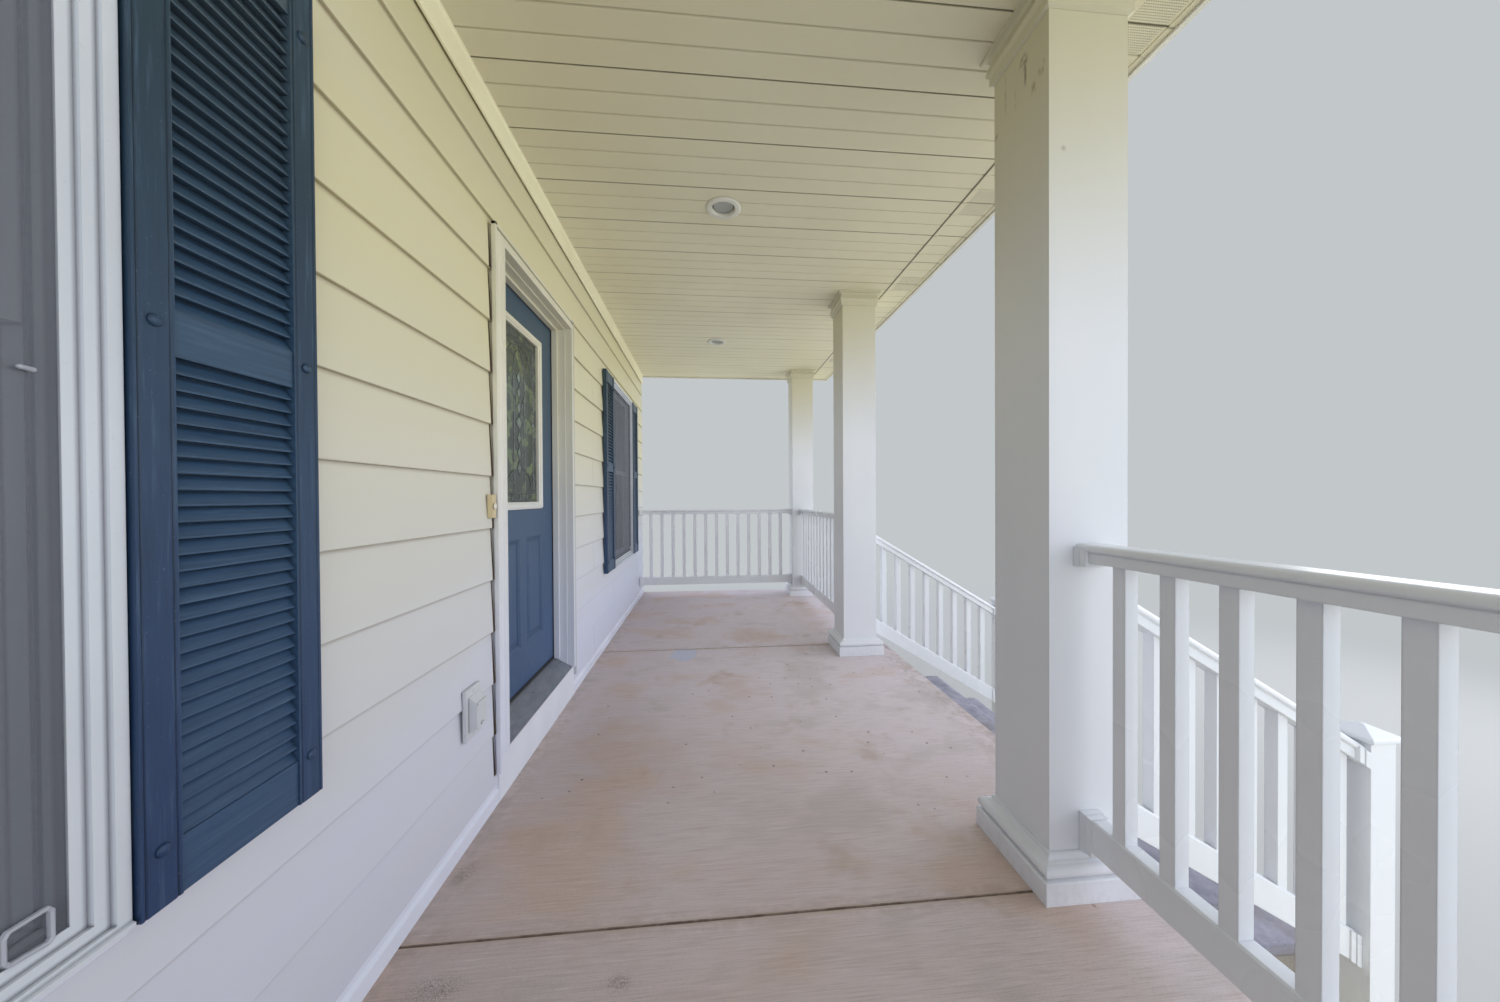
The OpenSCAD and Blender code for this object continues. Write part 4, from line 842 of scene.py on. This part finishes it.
screws = Shape()
head = [(0.0042, 0.0), (0.0042, 0.0006), (0.0030, 0.0013), (0.0008, 0.0015)]
for x in THRESHOLD_SCREW_X:
    screws.lathe(head, (x, WALL_Y + 0.050, THRESHOLD_SCREW_Z), (0, 0, 1), 14)
for z in HINGE_Z:
    for dz in (-0.034, 0.0, 0.034):
        screws.lathe(head, (HINGE_SCREW_X, HINGE_SCREW_Y, z + dz), (0, 1, 0), 14)
screws.make("fixing_screws", satin_metal, smooth=True)

# ---------- siding: channels by the door and windows, cut ends, panel overlaps ----------
channel = Shape()
for x, side in ((CASING_X[0] - 0.002, -1), (CASING_X[1] + 0.002, 1)):
    a, b = sorted((x, x + side * CHANNEL_W))
    channel.block((a, WALL_Y - 0.018, CHANNEL_LOW_Z), (b, WALL_Y - 0.0005, CASING_Z + 0.016), 0.0012)
channel.block((CASING_X[0] - 0.016, WALL_Y - 0.018, CASING_Z + 0.003),
              (CASING_X[1] + 0.016, WALL_Y - 0.0005, CASING_Z + 0.016), 0.0012)
for x in WINDOW_X:
    channel.block((x - WINDOW_HALF - 0.004, WALL_Y - 0.010, WINDOW_LOW_Z - 0.014),
                  (x + WINDOW_HALF + 0.004, WALL_Y - 0.0005, WINDOW_LOW_Z - 0.003), 0.001)
channel.make("siding_channels", trim_cream)

# Dark wedges at the cut lap ends are painted shadow in the gaps.
gaps = Shape()
gap_mat = make_plain("cut_lap_shadow", "#4b3628", "#39291f", 0.8, 0.0, "#8d7a64", 0.3)
for x, side in ((CASING_X[0] - 0.002 - CHANNEL_W, -1), (CASING_X[1] + 0.002 + CHANNEL_W, 1)):
    for course in range(11):
        z0 = STARTER_Z + course * LAP
        low = max(CHANNEL_LOW_Z, z0 + 0.0006)
        high = min(z0 + LAP - 0.001, CASING_Z + 0.004)
        wide = 0.0170 + rng.uniform(-0.004, 0.003)
        thin = 0.0050 + rng.uniform(-0.002, 0.002)
        front = [WALL_Y - 0.0008 + 0.012 * (z - z0) / LAP for z in (low, high)]
        back = [v + 0.0016 for v in front]
        a, b = x + side * wide, x + side * thin
        gaps.add([(x, front[0], low), (a, front[0], low), (b, front[1], high), (x, front[1], high),
                  (x, back[0], low), (a, back[0], low), (b, back[1], high), (x, back[1], high)],
                 [(0, 1, 2, 3), (7, 6, 5, 4), (0, 4, 5, 1), (1, 5, 6, 2), (2, 6, 7, 3), (3, 7, 4, 0)])
gaps.make("siding_cut_gaps", gap_mat)

overlap = Shape()
for course in range(13):
    z0 = STARTER_Z + course * LAP
    for x in (-3.05 + 1.63 * ((course * 2) % 3), 0.95 + 0.71 * (course % 3)):
        clear = all(abs(x - w) > 0.82 for w in WINDOW_X) or z0 < 1.10 or z0 > 3.0
        by_door = CASING_X[0] - 0.05 < x < CASING_X[1] + 0.05
        if not clear or by_door or z0 + LAP > CEILING_Z - 0.06:
            continue
        low, high = z0 + 0.005, z0 + LAP - 0.004
        overlap.add([(x, WALL_Y - 0.0008, low), (x + 0.03, WALL_Y + 0.0004, low),
                     (x + 0.03, WALL_Y + 0.0118, high), (x, WALL_Y + 0.0110, high),
                     (x, WALL_Y + 0.004, low), (x, WALL_Y + 0.0125, high)],
                    [(0, 1, 2, 3), (0, 3, 5, 4)])
overlap.make("siding_overlaps", siding)

# ---------- ceiling lights: lens with ribs ----------
lens_mat = make_glass("lamp_lens", ("#9d9f9a", "#b5b7b0"), 0.35, 1.0, 90)
lens = Shape()
ribs = [(0.0004, 0.0290), (0.010, 0.0288), (0.020, 0.0292), (0.030, 0.0283), (0.040, 0.0287),
        (0.050, 0.0275), (0.0535, 0.0270), (0.0535, 0.0330)]
for x in LAMP_X:
    lens.lathe(ribs, (x, LAMP_Y, CEILING_Z - 0.020), (0, 0, 1), 40)
lens.make("lamp_lenses", lens_mat, smooth=True)

# ---------- doorbell button, outlet cover details ----------
bell = Shape()
bell.lathe([(0.0125, 0.0), (0.0125, 0.002), (0.0105, 0.0032), (0.0095, 0.0020), (0.0085, 0.0030),
            (0.0005, 0.0036)], BELL, (0, -1, 0), 24)
# The button's darker corners are painted shade.
button_mat = make_plain("bell_white", "#efe9d6", "#e2dcc8", 0.3, 0.0008)
bell.make("bell_button", button_mat, smooth=True)
cover = Shape()
for dz in (-0.074, 0.074):
    cover.lathe(head, (OUTLET[0], WALL_Y - 0.0121, OUTLET[1] + dz), (0, -1, 0), 14)
cover.block((OUTLET[0] - 0.031, WALL_Y - 0.0440, OUTLET[1] + 0.032),
            (OUTLET[0] + 0.031, WALL_Y - 0.0385, OUTLET[1] + 0.041), 0.0012)
cover.block((OUTLET[0] - 0.007, WALL_Y - 0.0450, OUTLET[1] - 0.044),
            (OUTLET[0] + 0.007, WALL_Y - 0.0388, OUTLET[1] - 0.035), 0.0010)
cover.make("outlet_details", plate_mat)

# ---------- roof: deck sheet with laid shingles ----------
low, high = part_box("roof_deck")


def roof_z(y):
    """Top of the CAD roof over y."""
    return high.z - (high.y - y) * ROOF_SLOPE


deck = Shape()
for y in (low.y + 0.004, high.y):
    for x in (low.x + 0.004, high.x - 0.004):
        deck.verts.extend(Vector((x, y, roof_z(y) - drop)) for drop in (SHEET_DROP, SHINGLE_BED))
deck.faces = [(0, 2, 3, 1), (4, 5, 7, 6), (0, 1, 5, 4), (2, 6, 7, 3), (1, 3, 7, 5), (0, 4, 6, 2)]
shingle_mat = make_rough_stone("shingle_grit", "#57534f", "#69645e", "#4a4743", 14)
deck_obj = deck.make("roof_sheet", make_wood())
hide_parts("roof_deck")
tabs = Shape()
exposure = 0.143
run = exposure * math.cos(math.atan(ROOF_SLOPE))
count = int((high.y - low.y) / run)
run = (high.y - low.y) / count
for k in range(count):
    y0 = low.y + k * run
    y1 = min(high.y, y0 + run * 1.35)
    x = low.x + (0.165 if k % 2 else 0.0) - 0.165
    while x < high.x:
        x_next = x + 0.305 + rng.uniform(-0.02, 0.02)
        a, b = max(low.x, x), min(high.x, x_next - 0.006)
        if b - a > 0.03:
            lift = 0.0045 + rng.uniform(-0.0007, 0.0)
            drop = rng.uniform(0.0, 0.004) if k else 0.0
            front, bed0, bed1 = y0 + drop, roof_z(y0 + drop) - SHINGLE_BED, roof_z(y1) - SHINGLE_BED
            v = [(a, front, bed0), (b, front, bed0), (b, front, bed0 + lift), (a, front, bed0 + lift),
                 (a, y1, bed1), (b, y1, bed1), (b, y1, bed1 + 0.001), (a, y1, bed1 + 0.001)]
            tabs.add(v, [(0, 1, 2, 3), (3, 2, 6, 7), (0, 3, 7, 4), (1, 5, 6, 2), (4, 7, 6, 5)])
        x = x_next
tabs.make("roof_shingles", shingle_mat)

# ---------- steps: treads with split faces ----------
tlow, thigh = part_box("stair_treads")
NX, NY, NZ = 120, 14, 5
for k in (1, 2, 3):
    y0 = FRONT_Y - k * TREAD_RUN - 0.025
    y1 = FRONT_Y - (k - 1) * TREAD_RUN if k > 1 else FRONT_Y + 0.015
    z1 = FLOOR_EDGE_Z - k * RISER
    z0 = z1 - TREAD_THICK
    rows, index = [], {}

    def vertex(i, j, m):
        """One vertex of the tread's grid, moved inward by the split face."""
        key = (i, j, m)
        if key not in index:
            x = tlow.x + (thigh.x - tlow.x) * i / NX
            y = y0 + (y1 - y0) * j / NY
            z = z0 + (z1 - z0) * m / NZ
            p = Vector((x * 9, y * 9 + k * 7, z * 22))
            rough = noise.fractal(p, 0.7, 2.1, 4) * 0.5 + 0.5
            fine = noise.fractal(p * 3.1, 0.8, 2.0, 3) * 0.5 + 0.5
            if j == 0:
                belly = 0.35 + 0.65 * math.sin(math.pi * (m + 0.6) / (NZ + 1.2)) ** 0.5
                y += 0.001 + 0.010 * rough * belly
            if i in (0, NX):
                x += (0.001 + 0.008 * rough) * (1 if i == 0 else -1)
            if m == NZ:
                z -= 0.0004 + 0.0016 * fine + (0.003 * rough if j == 0 else 0.0)
            index[key] = len(rows)
            rows.append(Vector((x, y, z)))
        return index[key]

    def quad(*corners):
        quads.append(tuple(vertex(*corner) for corner in corners))

    quads = []
    for i in range(NX):
        for j in range(NY):
            quad((i, j, NZ), (i + 1, j, NZ), (i + 1, j + 1, NZ), (i, j + 1, NZ))
            quad((i, j, 0), (i, j + 1, 0), (i + 1, j + 1, 0), (i + 1, j, 0))
        for m in range(NZ):
            quad((i, 0, m), (i + 1, 0, m), (i + 1, 0, m + 1), (i, 0, m + 1))
            quad((i, NY, m), (i, NY, m + 1), (i + 1, NY, m + 1), (i + 1, NY, m))
    for j in range(NY):
        for m in range(NZ):
            quad((0, j, m), (0, j, m + 1), (0, j + 1, m + 1), (0, j + 1, m))
            quad((NX, j, m), (NX, j + 1, m), (NX, j + 1, m + 1), (NX, j, m + 1))
    stone = piece("stone_tread_%d" % k, rows, quads, stone_mat, smooth=True)
    if k == 1:
        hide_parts("stair_treads")


# ---------- stage, light, camera ----------
def seen_or_lit(tree, seen, lit):
    """Mixes what camera, glossy and transmitted rays meet with what lights the object."""
    path = tree.nodes.new("ShaderNodeLightPath")
    total = None
    for key in ("Is Camera Ray", "Is Glossy Ray", "Is Transmission Ray"):
        if total is None:
            total = path.outputs[key]
            continue
        join = tree.nodes.new("ShaderNodeMath")
        join.operation = "MAXIMUM"
        tree.links.new(total, join.inputs[0])
        tree.links.new(path.outputs[key], join.inputs[1])
        total = join.outputs[0]
    blend = tree.nodes.new("ShaderNodeMixShader")
    tree.links.new(total, blend.inputs[0])
    tree.links.new(lit, blend.inputs[1])
    tree.links.new(seen, blend.inputs[2])
    return blend.outputs[0]


wide, under = 40, -0.002
ground_mesh = bpy.data.meshes.new("stage_floor")
ground_mesh.from_pydata([(-wide, -wide, under), (wide, -wide, under), (wide, wide, under),
                         (-wide, wide, under)], [], [(0, 1, 2, 3)])
ground_obj = bpy.data.objects.new("stage_floor", ground_mesh)
bpy.context.scene.collection.objects.link(ground_obj)
stage_mat = bpy.data.materials.new("stage_floor")
stage_mat.use_nodes = True
tree = stage_mat.node_tree
seen = tree.nodes["Principled BSDF"]
seen.inputs["Base Color"].default_value = srgb("#c0bfb9")
seen.inputs["Roughness"].default_value = 0.9
haze = tree.nodes.new("ShaderNodeEmission")
haze.inputs["Color"].default_value = srgb(BACKDROP)
coord = tree.nodes.new("ShaderNodeTexCoord")
away = tree.nodes.new("ShaderNodeVectorMath")
away.operation = "LENGTH"
tree.links.new(coord.outputs["Object"], away.inputs[0])
fade = tree.nodes.new("ShaderNodeMapRange")
fade.interpolation_type = "SMOOTHSTEP"
fade.inputs["From Min"].default_value = HAZE_FROM
fade.inputs["From Max"].default_value = HAZE_TO
tree.links.new(away.outputs["Value"], fade.inputs["Value"])
far = tree.nodes.new("ShaderNodeMixShader")
tree.links.new(fade.outputs[0], far.inputs[0])
tree.links.new(seen.outputs[0], far.inputs[1])
tree.links.new(haze.outputs[0], far.inputs[2])
lit = tree.nodes.new("ShaderNodeBsdfDiffuse")
lit.inputs["Color"].default_value = srgb("#efe9d0")
tree.links.new(seen_or_lit(tree, far.outputs[0], lit.outputs[0]),
               tree.nodes["Material Output"].inputs["Surface"])
ground_mesh.materials.append(stage_mat)

world = bpy.data.worlds.new("studio")
bpy.context.scene.world = world
world.use_nodes = True
tree = world.node_tree
sky = tree.nodes["Background"]
sky.inputs["Color"].default_value = (0.82, 0.90, 1.08, 1.0)
sky.inputs["Strength"].default_value = 1.02
back = tree.nodes.new("ShaderNodeBackground")
back.inputs["Color"].default_value = srgb(BACKDROP)
back.inputs["Strength"].default_value = 1.0
tree.links.new(seen_or_lit(tree, back.outputs[0], sky.outputs[0]),
               tree.nodes["World Output"].inputs["Surface"])


def lamp(name, place, target, size, power, colour):
    """A soft rectangular lamp that the camera doesn't see."""
    data = bpy.data.lights.new(name, "AREA")
    data.shape = "RECTANGLE"
    data.size, data.size_y = size
    data.energy = power
    data.color = colour
    obj = bpy.data.objects.new(name, data)
    obj.location = place
    obj.rotation_euler = (Vector(target) - Vector(place)).to_track_quat("-Z", "Y").to_euler()
    obj.visible_camera = False
    bpy.context.scene.collection.objects.link(obj)


lamp("yard_light", (-1.0, -8.0, 3.2), (0, 0.6, 1.9), (9.0, 4.0), 255, (0.98, 0.98, 1.0))
lamp("end_light", (-8.0, -1.5, 2.6), (0, -0.4, 1.9), (4.0, 3.0), 95, (0.90, 0.95, 1.0))

camera_data = bpy.data.cameras.new("camera")
camera_data.sensor_width = 36.0
camera_data.lens = CAMERA_LENS_MM
camera_data.clip_start = 0.02
camera_data.clip_end = 200.0
camera = bpy.data.objects.new("camera", camera_data)
bpy.context.scene.collection.objects.link(camera)
yaw, pitch, roll = CAMERA_YAW, CAMERA_PITCH, CAMERA_ROLL
forward = Vector((math.cos(yaw) * math.cos(pitch), -math.sin(yaw) * math.cos(pitch), -math.sin(pitch)))
level = Vector((-math.sin(yaw), -math.cos(yaw), 0.0))
upward = level.cross(forward)
right = level * math.cos(roll) - upward * math.sin(roll)
upward = level * math.sin(roll) + upward * math.cos(roll)
turn = Matrix((right, upward, -forward)).transposed().to_4x4()
camera.matrix_world = Matrix.Translation(CAMERA_AT) @ turn
bpy.context.scene.camera = camera
bpy.context.scene.view_settings.view_transform = "Standard"

# Two large lamps and few bounces keep the final render under five minutes
cycles = bpy.context.scene.cycles
cycles.use_light_tree = False
cycles.max_bounces = 5
cycles.diffuse_bounces = 3
cycles.glossy_bounces = 2
